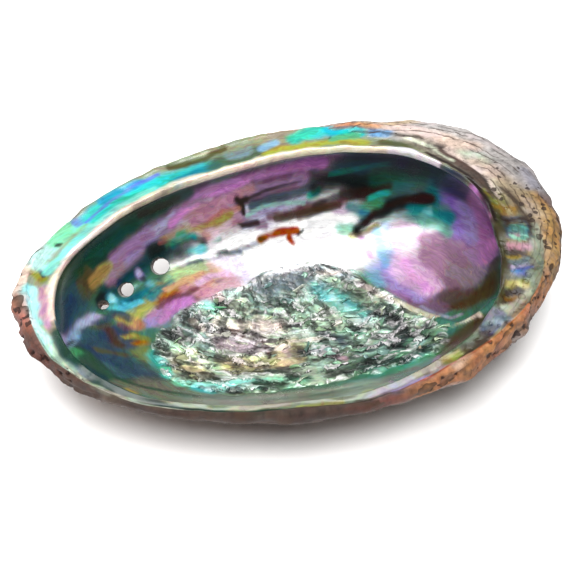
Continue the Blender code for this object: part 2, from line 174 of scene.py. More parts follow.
# %% Shape values, in millimetres
MM = 0.001
PLAN_OFFSET = np.array((-3.7722, 0.5557, 0.0))   # from the drawing's origin to the part's
BOWL_CENTRE = np.array((4.0, -2.0))
RIM_HEIGHT = 36.5
RIM_SLOPE = math.tan(math.radians(7))
FLOOR_HEIGHT = 4.3
CROWN_SHIFT = np.array((9.0, 11.0))
WORN_FLAT = 0.8
EDGE_THICKNESS = 2.4
CEILING_FALL = 1.0
# Every 20 degrees from the spire end: lip reach, lip width, bulge, drop to the bulge, undercut
STATIONS = np.array((
    (70.2, 12.5, 7.8, 7.0, 8.0), (66.6, 6.5, 17.6, 6.0, 12.0), (65.2, 7.5, 19.5, 5.5, 13.0),
    (61.4, 11.4, 10.5, 5.5, 9.5), (55.8, 11.6, 2.6, 4.5, 5.5), (53.2, 12.0, 0.8, 4.0, 3.5),
    (54.0, 11.6, 0.6, 4.0, 2.5), (58.8, 11.2, 0.6, 4.0, 1.5), (67.6, 10.8, 0.8, 4.0, 0.5),
    (76.2, 8.0, 3.2, 4.0, 0.0), (77.8, 5.0, 1.2, 3.0, 0.0), (72.6, 2.8, 0.2, 1.6, 0.0),
    (63.8, 2.3, 0.2, 1.6, 0.0), (58.8, 2.3, 0.8, 2.0, 0.0), (57.4, 2.4, 1.2, 2.2, 0.0),
    (57.6, 3.0, 1.8, 2.5, 0.0), (61.2, 5.0, 2.0, 3.0, 1.0), (67.4, 10.0, 1.0, 4.5, 4.0),
))
OUTSIDE_FULLNESS = (2.0, 1.85, 1.6, 1.45)
HOLLOW_FULLNESS = (2.3, 2.35, 1.7, 1.45)


def around(column, bearing):
    """A station column at any bearings, by a closed cubic curve through its values."""
    values = STATIONS[:, column]
    count = len(values)
    place = np.asarray(bearing) / math.tau * count
    index = np.floor(place).astype(int)
    t = place - index
    before, here, there, after = (values[(index + k) % count] for k in (-1, 0, 1, 2))
    return 0.5 * (
        2 * here
        + (there - before) * t
        + (2 * before - 5 * here + 4 * there - after) * t**2
        + (3 * here - before - 3 * there + after) * t**3
    )


def smooth(t):
    t = np.clip(t, 0, 1)
    return t * t * (3 - 2 * t)


def bump(distance, width):
    return np.exp(-((distance / width) ** 2))


def blend_round(bearing, sides):
    """Eases between values for the spire, pore, head and free-lip sides."""
    spire, pores, head, free = sides
    along, across = np.cos(bearing), np.sin(bearing)
    return np.where(along > 0, spire, head) * along**2 + np.where(across > 0, pores, free) * across**2


print("lip reaches from", STATIONS[:, 0].min(), "to", STATIONS[:, 0].max(), "mm")

# %% [markdown]
# ## One profile
# Each helper gives the reach from the bowl's middle, the height, and how far the point
# follows the crown's shift to one side. A super-ellipse draws both the crust and the
# hollow: one power makes it flat-bottomed like the hollow or pointed like the keel side.

# %% Profile helpers
def section(bearing):
    """The sizes that draw the wall at each bearing."""
    lip, shelf, bulge, drop, undercut = (around(k, bearing) for k in range(5))
    across = np.sin(bearing)
    inner = lip - shelf
    ridge = np.minimum(shelf / 11, 1.0) * 0.9
    return {
        "bearing": bearing, "lip": lip, "bulge": bulge, "drop": drop, "inner": inner,
        "ridge": ridge, "undercut": undercut,
        "lip_z": RIM_HEIGHT + (BOWL_CENTRE[1] + lip * across) * RIM_SLOPE,
        "inner_z": RIM_HEIGHT + (BOWL_CENTRE[1] + inner * across) * RIM_SLOPE + ridge,
        "edge_drop": EDGE_THICKNESS + 0.55 * undercut + CEILING_FALL,
    }


def bowl_height(share, top, bottom, fullness):
    """Height of a super-ellipse bowl at a share of its full reach."""
    return top - (top - bottom) * np.maximum(1 - share**fullness, 0.0) ** (1 / fullness)


def outside_point(cut, share):
    fullness = blend_round(cut["bearing"], OUTSIDE_FULLNESS)
    height = bowl_height(share, cut["lip_z"] - cut["drop"], 0.0, fullness)
    return (cut["lip"] + cut["bulge"]) * share, height, share


def hollow_point(cut, share):
    fullness = blend_round(cut["bearing"], HOLLOW_FULLNESS)
    height = bowl_height(share, cut["inner_z"] - cut["edge_drop"], FLOOR_HEIGHT, fullness)
    return (cut["inner"] + cut["undercut"]) * share, height, share


def roll_point(cut, t):
    angle = t * math.pi / 2
    reach = cut["lip"] + cut["bulge"] * math.cos(angle)
    return reach, cut["lip_z"] - cut["drop"] * (1 - math.sin(angle)), 1.0


def shelf_point(cut, t):
    dip = cut["ridge"] * 0.8 * math.sin(math.pi * t)
    rise = (cut["inner_z"] - cut["ridge"] - cut["lip_z"]) * t + cut["ridge"] * float(smooth(t))
    return cut["lip"] + (cut["inner"] - cut["lip"]) * t, cut["lip_z"] + rise - dip, 1.0


def edge_point(cut, t):
    return cut["inner"] - 0.5 * math.sin(math.pi * t), cut["inner_z"] - EDGE_THICKNESS * t, 1.0


def ceiling_point(cut, t):
    angle = t * math.pi / 2
    fall = 0.55 * cut["undercut"] * (1 - math.cos(angle)) + CEILING_FALL * t
    return cut["inner"] + cut["undercut"] * math.sin(angle), cut["inner_z"] - EDGE_THICKNESS - fall, 1.0


def place(cut, reach, height, share):
    """Wall points in the drawing, from a profile's reach and height."""
    follow = 1 - np.asarray(share) ** 2
    x = BOWL_CENTRE[0] + reach * np.cos(cut["bearing"]) + CROWN_SHIFT[0] * follow
    y = BOWL_CENTRE[1] + reach * np.sin(cut["bearing"]) + CROWN_SHIFT[1] * follow
    return np.stack([x, y, height + 0 * x], axis=-1)


print("profile parts: outside, roll, shelf, edge, ceiling, hollow")

# %% [markdown]
# ## The loft and its two nets
# Rows of points would crowd into a star at the middle of the crown and of the floor. Both
# middles are square nets instead, pulled round so that their border joins the rows. Each
# part of the profile has a walk length, so a relief can ask how far down the wall a point
# is whatever the number of rows.

# %% The smooth wall
NET_RINGS = 64
BEARINGS = 8 * NET_RINGS
NET_SHARE = 0.62
# Part of the profile, its walk length, and its number of rows
PROFILE = (
    ("outside", 26, 30), ("roll", 7, 11), ("shelf", 6, 15),
    ("edge", 3, 5), ("ceiling", 5, 8), ("hollow", 24, 54),
)
RIM_PARTS = {"roll": roll_point, "shelf": shelf_point, "edge": edge_point, "ceiling": ceiling_point}
LIP_WALK, EDGE_WALK, HOLLOW_WALK, END_WALK = 33, 39, 47, 71


def spread_shares(count):
    """Shares from a net's border up to full reach, closer together where the wall is steep."""
    first = math.asin(NET_SHARE)
    return [math.sin(first + (math.pi / 2 - first) * k / count) for k in range(count + 1)]


def profile_rows(cut):
    """Every row round the shell, and its walk from the crown's net to the floor's."""
    rows, walks, start = [], [], 0
    for name, length, count in PROFILE:
        for k in range(count + (name == "hollow")):
            t = k / count
            if name == "outside":
                row = outside_point(cut, spread_shares(count)[k])
            elif name == "hollow":
                row = hollow_point(cut, spread_shares(count)[count - k])
            else:
                row = RIM_PARTS[name](cut, t)
            rows.append(place(cut, *row))
            walks.append(start + length * t)
        start += length
    return rows, walks


def net_steps():
    """For each point of a square net, its ring and its place along the ring."""
    found = {}
    for i in range(-NET_RINGS, NET_RINGS + 1):
        for j in range(-NET_RINGS, NET_RINGS + 1):
            ring = max(abs(i), abs(j))
            if i == ring:
                found[i, j] = ring, j + ring
            elif j == ring:
                found[i, j] = ring, 3 * ring - i
            elif i == -ring:
                found[i, j] = ring, 5 * ring - j
            else:
                found[i, j] = ring, 7 * ring + i
    return found


def smooth_wall():
    """Points and faces of the wall, and how far along the profile each point is."""
    turns = math.tau * (np.arange(BEARINGS) / BEARINGS - 0.125)
    rows, row_walks = profile_rows(section(turns))
    points = [np.concatenate(rows)]
    walks = [np.repeat(row_walks, BEARINGS)]
    faces = []
    for row in range(len(rows) - 1):
        for k in range(BEARINGS):
            here, there = row * BEARINGS + k, row * BEARINGS + (k + 1) % BEARINGS
            faces.append((here, there, there + BEARINGS, here + BEARINGS))
    steps = net_steps()
    total = len(points[0])
    for surface, edge_row, is_crown in ((outside_point, 0, True), (hollow_point, len(rows) - 1, False)):
        inner = [key for key, (ring, _) in steps.items() if ring < NET_RINGS]
        ring = np.array([steps[key][0] for key in inner])
        step = np.array([steps[key][1] for key in inner])
        cut = section(np.where(ring > 0, math.tau * (step / np.maximum(8 * ring, 1) - 0.125), 0.0))
        points.append(place(cut, *surface(cut, NET_SHARE * ring / NET_RINGS)))
        walks.append(np.full(len(inner), 0.0 if is_crown else END_WALK))
        corner = {key: total + n for n, key in enumerate(inner)}
        total += len(inner)
        for key, (at, along) in steps.items():
            if at == NET_RINGS:
                corner[key] = edge_row * BEARINGS + along % BEARINGS
        for i in range(-NET_RINGS, NET_RINGS):
            for j in range(-NET_RINGS, NET_RINGS):
                square = (corner[i, j], corner[i + 1, j], corner[i + 1, j + 1], corner[i, j + 1])
                faces.append(square[::-1] if is_crown else square)
    return np.concatenate(points), faces, np.concatenate(walks)


rest_points, wall_faces, walks = smooth_wall()
print("smooth wall:", len(rest_points), "points,", len(wall_faces), "faces")

# %% [markdown]
# ## Relief: the spire and the crust outside
# From outside, an abalone shows its growth: a suture winds out from the small spire, a keel
# carries the pores, old pores are left as pimples, and the rim's old places stay as terraces.
# A logarithmic spiral whose angle has a small square term draws both lines. The relief is a
# height in millimetres that later moves each point along its normal.

# %% Relief helpers and the outside
APEX = np.array((48.0, -6.0))
SUTURE, SUTURE_TURNS = (1.395, 0.059, 0.07), (-4.0, 5.25)
PORE_ROW, PORE_ROW_TURNS = (2.9, 0.42, 0.045), (-4.4, 3.42)
CLOSED_PORES, CLOSED_PORE_STEP = 13, 0.135      # the step is an angle round the apex
OLDEST_OPEN_PORE = np.array((-34.5, 22.5))      # the closed ones go on from here to the apex
TERRACES = 9                                    # from the apex to the rim
CRUST_LUMPS = (
    (172.0, 3.0, 4.0, 0.5), (185.0, 3.0, 4.5, 1.9), (197.0, 4.0, 4.0, 0.6), (212.0, 3.5, 5.0, 0.3),
    (240.0, 4.5, 4.0, 0.5), (258.0, 4.0, 4.0, 0.6), (22.0, 8.0, 7.0, 1.0), (6.0, 7.0, 6.0, 1.3),
    (326.0, 6.0, 5.0, 0.5), (306.0, 6.0, 5.0, 1.0),
)


def noise_field(points, size, octaves, seed):
    """Fractal noise of about -1 to 1 with lumps of the given size."""
    offset = Vector((seed * 17.3, seed * -9.1, seed * 5.7))
    return np.array([noise.fractal(Vector(p) + offset, 0.9, 2.0, octaves) for p in points / size])


def distance_to_path(points, path):
    """Distance from points to a chain of segments, and how far along it the foot is."""
    path = np.array(path, float)
    best, along = np.full(len(points), 1e9), np.zeros(len(points))
    if len(path) == 1:
        return np.linalg.norm(points - path[0], axis=1), along
    for k, (start, end) in enumerate(zip(path, path[1:])):
        way = end - start
        t = np.clip((points - start) @ way / (way @ way), 0, 1)
        away = np.linalg.norm(points - start - t[:, None] * way, axis=1)
        along = np.where(away < best, (k + t) / (len(path) - 1), along)
        best = np.minimum(best, away)
    return best, along


def inside_outline(points, outline):
    """Signed distance into a closed outline: positive inside."""
    x, y = points.T
    crossings = np.zeros(len(points), bool)
    for (x0, y0), (x1, y1) in zip(outline, outline[1:] + outline[:1]):
        spans = (y0 > y) != (y1 > y)
        crossings ^= spans & (x < x0 + (y - y0) * (x1 - x0) / (y1 - y0 if y1 != y0 else 1e-9))
    away, _ = distance_to_path(points, outline + outline[:1])
    return np.where(crossings, away, -away)


def spiral_distance(points, spiral, turns):
    """Radial distance to the nearest pass of a spiral, its radius there, and a fade at its ends."""
    radius = np.linalg.norm(points[:, :2] - APEX, axis=1)
    angle = np.arctan2(points[:, 1] - APEX[1], points[:, 0] - APEX[0])
    best, at, fade = np.full(len(points), 1e9), np.ones(len(points)), np.zeros(len(points))
    for turn in (-1, 0, 1):
        t = angle + math.tau * turn
        there = np.exp(spiral[0] + spiral[1] * t + spiral[2] * t * t)
        away = np.where((t >= turns[0]) & (t <= turns[1]), radius - there, 1e9)
        nearer = np.abs(away) < np.abs(best)
        best, at = np.where(nearer, away, best), np.where(nearer, there, at)
        fade = np.where(nearer, smooth((turns[1] - t) / 0.4) * smooth((t - turns[0]) / 0.4), fade)
    return best, at, fade


def growth_share(points):
    """How far each point is from the apex towards the rim: 0 at the apex and 1 at the rim."""
    bearings = np.linspace(0, math.tau, 181)
    reach = around(0, bearings) + around(2, bearings)
    rim = BOWL_CENTRE + reach[:, None] * np.stack([np.cos(bearings), np.sin(bearings)], axis=1) - APEX
    rim_angle = np.arctan2(rim[:, 1], rim[:, 0])
    order = np.argsort(rim_angle)
    gap = points[:, :2] - APEX
    angle, rim_reach = np.arctan2(gap[:, 1], gap[:, 0]), np.linalg.norm(rim, axis=1)
    span = np.interp(angle, rim_angle[order], rim_reach[order], period=math.tau)
    return np.linalg.norm(gap, axis=1) / span


def outside_relief(points):
    """Relief of the crust in millimetres."""
    span = np.linalg.norm(points[:, :2] - APEX, axis=1)
    away, at, fade = spiral_distance(points, SUTURE, SUTURE_TURNS)
    width = 0.6 + at * 0.05
    ledge = bump(np.minimum(away, 0), 1.5 + at * 0.22) * (1 - smooth(away / (2 * width) + 0.5))
    height = fade * (ledge * (0.8 + 0.03 * at) - (0.4 + at * 0.02) * bump(away - width, width))
    height += 2.6 * bump(span, 9) + 1.1 * bump(span, 3)
    away, at, fade = spiral_distance(points, PORE_ROW, PORE_ROW_TURNS)
    height += fade * (0.5 + at * 0.02) * bump(away, 0.8 + at * 0.055)
    first = math.atan2(*(OLDEST_OPEN_PORE - APEX)[::-1])
    for k in range(CLOSED_PORES):
        t = first - CLOSED_PORE_STEP * (k + 1)
        radius = math.exp(PORE_ROW[0] + PORE_ROW[1] * t + PORE_ROW[2] * t * t)
        pimple = APEX + radius * np.array((math.cos(t), math.sin(t)))
        size = 3.1 * math.exp(-0.085 * k)
        gap = np.linalg.norm(points[:, :2] - pimple, axis=1)
        height += 0.42 * size * (bump(gap, size) - 0.55 * bump(gap, size * 0.42))
    growth = growth_share(points)
    step = growth * TERRACES + 0.25 * noise_field(points, 30, 2, 8)
    terrace = (step - np.floor(step)) ** 3
    height += 0.75 * terrace * smooth((growth - 0.25) / 0.2)
    return height + 0.8 * noise_field(points, 11, 3, 1)


def lump_relief(points):
    """Lumps of crust hanging outside the rim."""
    height = np.zeros(len(points))
    for at, drop, radius, rise in CRUST_LUMPS:
        cut = section(np.array(math.radians(at) % math.tau))
        middle = place(cut, cut["lip"] + cut["bulge"] * 0.8, cut["lip_z"] - drop, 1.0)
        height += rise * bump(np.linalg.norm(points - middle, axis=1), radius)
    return height


print("spire at", APEX, "mm, with", CLOSED_PORES, "closed pores")

# %% [markdown]
# ## Relief: the nacre inside
# Inside there are a groove under the pore row with a bank on each side, the rough scar where
# the muscle held on, a thin raised line, a fold over the spire's hollow and a brown chip.
# The scar is the roughest place. Its plates come from a cell pattern stretched along the
# shell, each plate tipped its own way, with torn gaps between them. They are raised later,
# on a finer skin of their own, and lower than the solid's because the skin adds torn layers.

# %% The nacre's relief
OPEN_PORES = (   # x, y, z, radius, and tilt off the horizontal in degrees
    (-34.7, 20.6, 18.8, 2.5, 37.0), (-45.7, 10.6, 18.8, 2.05, 37.0), (-52.8, 3.0, 20.2, 1.45, 48.0),
)
GROOVE_PATH = ((-8, 38), (-20, 32), (-35, 20.5), (-46, 10.5), (-53, 3), (-60, -10), (-68.5, -29))
GROOVE_NEAR_BANK = ((-22, 22), (-36, 10), (-50, -3), (-62, -25))
GROOVE_FAR_BANK = ((-30, 33), (-41, 23), (-53, 9))
SCAR_OUTLINE = (
    (-41, -14), (-36, 0), (-22, 14), (-8, 22), (4, 29), (16, 31), (27, 27), (31, 18),
    (38, 6), (45, -9), (46, -16), (39, -25), (21, -32), (-5, -35), (-22, -36), (-36, -28),
)
SCAR_RISE, SCAR_PLATE, SCAR_RELIEF = 0.45, (9.5, 4.2), 0.65
RIDGE_PATH = ((61, -9), (56, -11), (50, -12), (46, -7), (41, 3), (35, 12), (31, 22))
FOLD_PATH = ((32, 41), (37, 43), (44, 45), (51, 45), (56, 42))
CHIP_PATH = ((-2, 37), (5, 39.5), (10, 39.5), (14, 41))
KNUCKLES = ((5.5, -1.3), (-2.0, 1.3), (-9.5, -1.2), (-16.5, 1.3), (-25.5, -1.2), (-36.0, 0.8))
KNUCKLE_WIDTH = 3.4


def scar_depth(points):
    """Signed distance into the scar, with a ragged edge."""
    return inside_outline(points[:, :2], SCAR_OUTLINE) + 1.6 * noise_field(points, 7, 2, 5)


def scar_plates(points, inside):
    """Overlapping plates with torn edges, each tipped a little its own way."""
    height = np.zeros(len(points))
    for index in np.nonzero(inside > -1)[0]:
        x, y, _ = points[index]
        warp = noise.noise_vector(Vector((x / 9, y / 6, 3.1)))
        u = x / SCAR_PLATE[0] + 0.10 * y / SCAR_PLATE[1] + 0.55 * warp[0]
        v = y / SCAR_PLATE[1] + 0.12 * x / SCAR_PLATE[0] + 0.55 * warp[1]
        spans, centres = noise.voronoi(Vector((u, v, 0.5)))
        own = noise.noise(centres[0] * 7.3)
        tip = (u - centres[0][0]) * 0.35 * own + (v - centres[0][1]) * 0.5
        crack = float(smooth((spans[1] - spans[0]) / 0.22))
        height[index] = (0.45 + 0.45 * own + 0.55 * tip) * crack
    return height


def scar_relief(points, inside):
    """Height of the scar's plates over the nacre."""
    return smooth(inside / 2.2 + 0.3) * (SCAR_RISE + SCAR_RELIEF * (scar_plates(points, inside) - 0.35))


def hollow_relief(points):
    """Relief of the nacre in millimetres, without the scar's plates."""
    plan = points[:, :2]
    on_scar = smooth(scar_depth(points) / 2.2 + 0.3)
    height = np.zeros(len(points))
    away, along = distance_to_path(plan, GROOVE_PATH)
    height -= 1.5 * smooth(along / 0.25) * bump(away, 4.2)
    for px, py, _, radius, _ in OPEN_PORES:
        height -= 0.7 * bump(np.hypot(plan[:, 0] - px, plan[:, 1] - py), radius * 1.7)
    for path, rise, width in (
        (GROOVE_NEAR_BANK, 0.7, 3.6), (GROOVE_FAR_BANK, 0.8, 3.4), (RIDGE_PATH, 0.9, 1.3),
        (FOLD_PATH, -0.9, 2.2), (CHIP_PATH, 0.8, 1.5),
    ):
        height += rise * bump(distance_to_path(plan, path)[0], width)
    return height + 0.35 * (1 - on_scar) * noise_field(points * (0.6, 1.0, 1.0), 14, 2, 2)


def knuckle_relief(points):
    """Knuckles on the inner lip at the spire end."""
    bearing = np.degrees(np.arctan2(points[:, 1] - BOWL_CENTRE[1], points[:, 0] - BOWL_CENTRE[0]))
    return sum(rise * bump(bearing - at, KNUCKLE_WIDTH) for at, rise in KNUCKLES)


def relief(points, walks):
    """Height of the relief at every point of the wall, in millimetres."""
    height = np.zeros(len(points))
    outer = walks <= LIP_WALK
    span = np.linalg.norm(points[outer, :2] - BOWL_CENTRE - CROWN_SHIFT, axis=1)
    to_lip = 0.3 + 0.7 * smooth((LIP_WALK - walks[outer]) / 8)
    height[outer] = outside_relief(points[outer]) * to_lip * (0.25 + 0.75 * smooth((span - 8) / 14))
    height[outer] += lump_relief(points[outer])
    shelf = (walks >= LIP_WALK - 2) & (walks < HOLLOW_WALK)
    middle = bump(walks[shelf] - LIP_WALK - 3, 3.3)
    height[shelf] += middle * (knuckle_relief(points[shelf]) + 0.4 * noise_field(points[shelf], 9, 2, 4))
    inner = walks >= HOLLOW_WALK
    height[inner] += hollow_relief(points[inner]) * smooth((walks[inner] - HOLLOW_WALK) / 7)
    return height


def wavy_rim(points, walks):
    """Makes the rim's edge uneven and dips it where the pore row runs out."""
    bearing = np.arctan2(points[:, 1] - BOWL_CENTRE[1], points[:, 0] - BOWL_CENTRE[0])
    edge = np.stack([np.cos(bearing) * 60, np.sin(bearing) * 60, bearing * 0], axis=1)
    notch = bump(np.hypot(points[:, 0] + 71, points[:, 1] + 30), 6)
    lift = bump(walks - LIP_WALK - 1, 8) * (0.7 * noise_field(edge, 14, 3, 11) - 1.2 * notch)
    return points + lift[:, None] * (0, 0, 1)


print("scar outline has", len(SCAR_OUTLINE), "points")

# %% [markdown]
# ## The main mesh and its open pores
# The smooth wall becomes a mesh, so Blender can give each point's normal, and the relief
# moves the points along those normals. The live pores are then bored through with tapered
# pegs and an exact Boolean. A Boolean renumbers the points, so a nearest-point search carries
# each new point's walk and resting place over from the wall.

# %% Raise the relief and bore the pores
PORE_AZIMUTH = math.radians(80)
BORE_SIDES, BORE_LENGTH = 48, 26.0


def new_object(name, data):
    obj = bpy.data.objects.new(name, data)
    bpy.context.scene.collection.objects.link(obj)
    return obj


def bake(obj):
    """Replaces an object's mesh by its evaluated one and drops its modifiers."""
    view = bpy.context.evaluated_depsgraph_get()
    baked = bpy.data.meshes.new_from_object(
        obj.evaluated_get(view), preserve_all_data_layers=True, depsgraph=view
    )
    obj.modifiers.clear()
    obj.data = baked
    return obj


def get_points(data):
    values = np.empty(len(data.vertices) * 3)
    data.vertices.foreach_get("co", values)
    return values.reshape(-1, 3)


def raise_relief(obj, walks):
    """Moves every point along its normal, wears the crown flat and goes to metres."""
    data = obj.data
    normals = np.empty(len(data.vertices) * 3)
    data.vertex_normals.foreach_get("vector", normals)
    points = get_points(data)
    points += normals.reshape(-1, 3) * relief(points, walks)[:, None]
    points[:, 2] = np.maximum(points[:, 2], WORN_FLAT) - WORN_FLAT
    data.vertices.foreach_set("co", ((points + PLAN_OFFSET) * MM).ravel())
    data.update()


def add_bore(pore):
    """A tapered peg along one open pore, wider towards the nacre."""
    x, y, z, radius, tilt = pore
    tilt = math.radians(tilt)
    way = Vector((
        math.cos(tilt) * math.cos(PORE_AZIMUTH), math.cos(tilt) * math.sin(PORE_AZIMUTH), -math.sin(tilt)
    ))
    bpy.ops.mesh.primitive_cone_add(
        vertices=BORE_SIDES, radius1=radius * 1.25 * MM, radius2=radius * 0.85 * MM, depth=BORE_LENGTH * MM,
        location=(Vector((x, y, z)) + Vector(PLAN_OFFSET) + way * 3.0) * MM,
        rotation=way.to_track_quat("Z", "Y").to_euler(),
    )
    return bpy.context.object


def bore_pores(obj):
    for pore in OPEN_PORES:
        peg = add_bore(pore)
        cut = obj.modifiers.new("bore", "BOOLEAN")
        cut.operation, cut.solver, cut.object = "DIFFERENCE", "EXACT", peg
        bake(obj)
        bpy.data.objects.remove(peg)


wall = bpy.data.meshes.new("abalone_shell")
wall.from_pydata(wavy_rim(rest_points, walks).tolist(), [], wall_faces)
wall.update()
shell = new_object("abalone_shell", wall)
raise_relief(shell, walks)
before_boring = get_points(shell.data)
bore_pores(shell)

nearest = KDTree(len(before_boring))
for index, point in enumerate(before_boring):
    nearest.insert(point, index)
nearest.balance()
source = np.array([nearest.find(point)[1] for point in get_points(shell.data)])
walks, rest_points = walks[source], rest_points[source]
print("shell:", len(shell.data.vertices), "points,", len(OPEN_PORES), "open pores")

# %% [markdown]
# ## Colours laid on in strokes
# Nacre has no pigment. Thin layers of aragonite split the light, and the colour follows
# their thickness, so it drifts in soft patches that follow the growth of the shell. Patches
# are painted here as strokes: a named colour, a width and a short path over the surface,
# laid one over another as with a brush. The paths bend with a noise so that no edge is neat.
# Some of the strokes paint light and shade instead: painted highlights where the lamps are
# mirrored in the nacre, and painted shade under the shelf, the fold and the rim.

# %% Palette and brush
PALETTE = {
    "ink": "#090d0f", "ink_brown": "#24130f", "deep_teal": "#0d353b", "bottle_green": "#183a2f",
    "moss": "#44604a", "olive": "#8a8440", "olive_dark": "#4a4628", "sage_deep": "#4f7862",
    "sage_pale": "#a4c0a2", "leaf": "#62b088", "leaf_pale": "#b4dca2", "leaf_dark": "#4a7a58",
    "mint": "#8edcb6", "mint_deep": "#62c8a2", "mint_grey": "#9cc4b4", "sea_green": "#226058",
    "turquoise": "#58c0b2", "turquoise_deep": "#1f7f88", "turquoise_pale": "#8edcd2",
    "turquoise_grey": "#62988e", "cyan": "#7cd8dc", "cyan_deep": "#36b2b6", "cyan_pale": "#b6e2dc",
    "sky": "#98bede", "blue": "#4a88bc", "navy": "#26344e", "steel": "#4a6672", "periwinkle": "#7486c4",
    "lilac_deep": "#8f7ac4", "lilac": "#b0a2d6", "lilac_pale": "#cdc4e6", "lilac_grey": "#a8a4b4",
    "orchid": "#cc90c8", "pink_pearl": "#ecc8e6", "rose": "#d6a0b0", "rose_grey": "#bc98ac",
    "coral": "#cc8678", "peach": "#dcb090", "plum": "#704468", "plum_grey": "#7e5c72", "mauve": "#a880a2",
    "mauve_grey": "#a08698", "pearl": "#f4ecf0", "cream": "#ece0ca", "cream_pink": "#f0dacc",
    "cream_green": "#ccd2ba", "shell_pink": "#dccaca", "butter": "#e6dc98", "gold": "#c8a44a",
    "gold_dull": "#b8a868", "gold_green": "#b4b058", "gold_deep": "#9a7428", "amber": "#a86c3a",
    "amber_pale": "#c49468", "brown": "#3e2a1c", "brown_red": "#6c4240", "rust": "#b4541c",
    "rust_dark": "#7c3c24", "rust_pale": "#c88252", "rust_rose": "#9a5c4a", "maroon": "#643a30",
    "taupe": "#98808a", "tan": "#bca684", "tan_deep": "#cc9c56", "bisque": "#dcc2b0", "ash": "#b4b0ae",
    "ash_dark": "#84827e", "ash_blue": "#aaa8b8", "slate": "#4a5a62", "slate_pale": "#7e9094",
    "mist": "#bcd0c8", "grey_green": "#9ab4aa", "dark_flake": "#34403a", "slate_dark": "#34464c",
    "umber": "#4a352c", "ash_warm": "#8c8277", "olive_grey": "#6e7662", "olive_pale": "#929c84",
    # the colours ending in _glow are painted highlights, kept at full strength
    "sage_dim": "#8f9078", "mauve_light": "#b08ab0", "violet_light": "#9a80c4", "white_glow": "#ffffff",
    "orchid_glow": "#e69ee0",
}
PAINT_DEPTH = 0.74      # the paper is lit beyond white, so paint is mixed this much darker
# painted shade: on the near side the lip and the crust are mixed darker, down to this share
PAINTED_NEAR_SHADE = 0.50        # the lip and the crust on the near side are darker still
STROKE_WANDER = 1.0     # mm that a noise bends the strokes by
WANDER_SHARE = 0.5      # and never more than this share of their width
STROKE_EDGE = 5.0       # higher gives a harder edge


def paint(name):
    """A palette colour as linear light. Colours whose names end in _glow are painted highlights and aren't
    mixed darker.
    """
    code = PALETTE[name].lstrip("#")
    values = np.array([int(code[k : k + 2], 16) / 255 for k in (0, 2, 4)])
    depth = 1.0 if name.endswith("_glow") else PAINT_DEPTH
    return depth * np.where(values <= 0.04045, values / 12.92, ((values + 0.055) / 1.055) ** 2.4)


def paint_rgba(name):
    """A palette colour for a node's socket."""
    return (*paint(name), 1)


def read_strokes(text):
    """Strokes from lines of "name: colour width strength: x y z, x y z". An indented line goes on."""
    strokes = []
    for line in text.replace("\n  ", " ").strip().splitlines():
        name, brush, path = line.split(":")
        colour, width, strength = brush.split()
        points = [tuple(int(value) for value in point.split()) for point in path.split(",")]
        strokes.append((name, colour, float(width), float(strength), points))
    return strokes


def lay_strokes(colours, points, where, strokes, noise_size=9, rise=1.0):
    """Lays strokes over the points of one side of the shell. Narrow strokes wander less.
    A rise under 1 counts heights for less, so that a stroke reaches over a ridge."""
    on = np.nonzero(where)[0]
    wander = np.stack([noise_field(points[on], noise_size, 3, seed) for seed in (21, 22, 23)], axis=1)
    for _, colour, width, strength, path in strokes:
        bent = (points[on] + min(STROKE_WANDER, WANDER_SHARE * width) * wander) * (1, 1, rise)
        path = np.array(path) * (1, 1, rise)
        amount = strength * np.exp(-((distance_to_path(bent, path)[0] / width) ** STROKE_EDGE))
        colours[on] += amount[:, None] * (paint(colour) - colours[on])
    return colours


print("palette of", len(PALETTE), "colours")
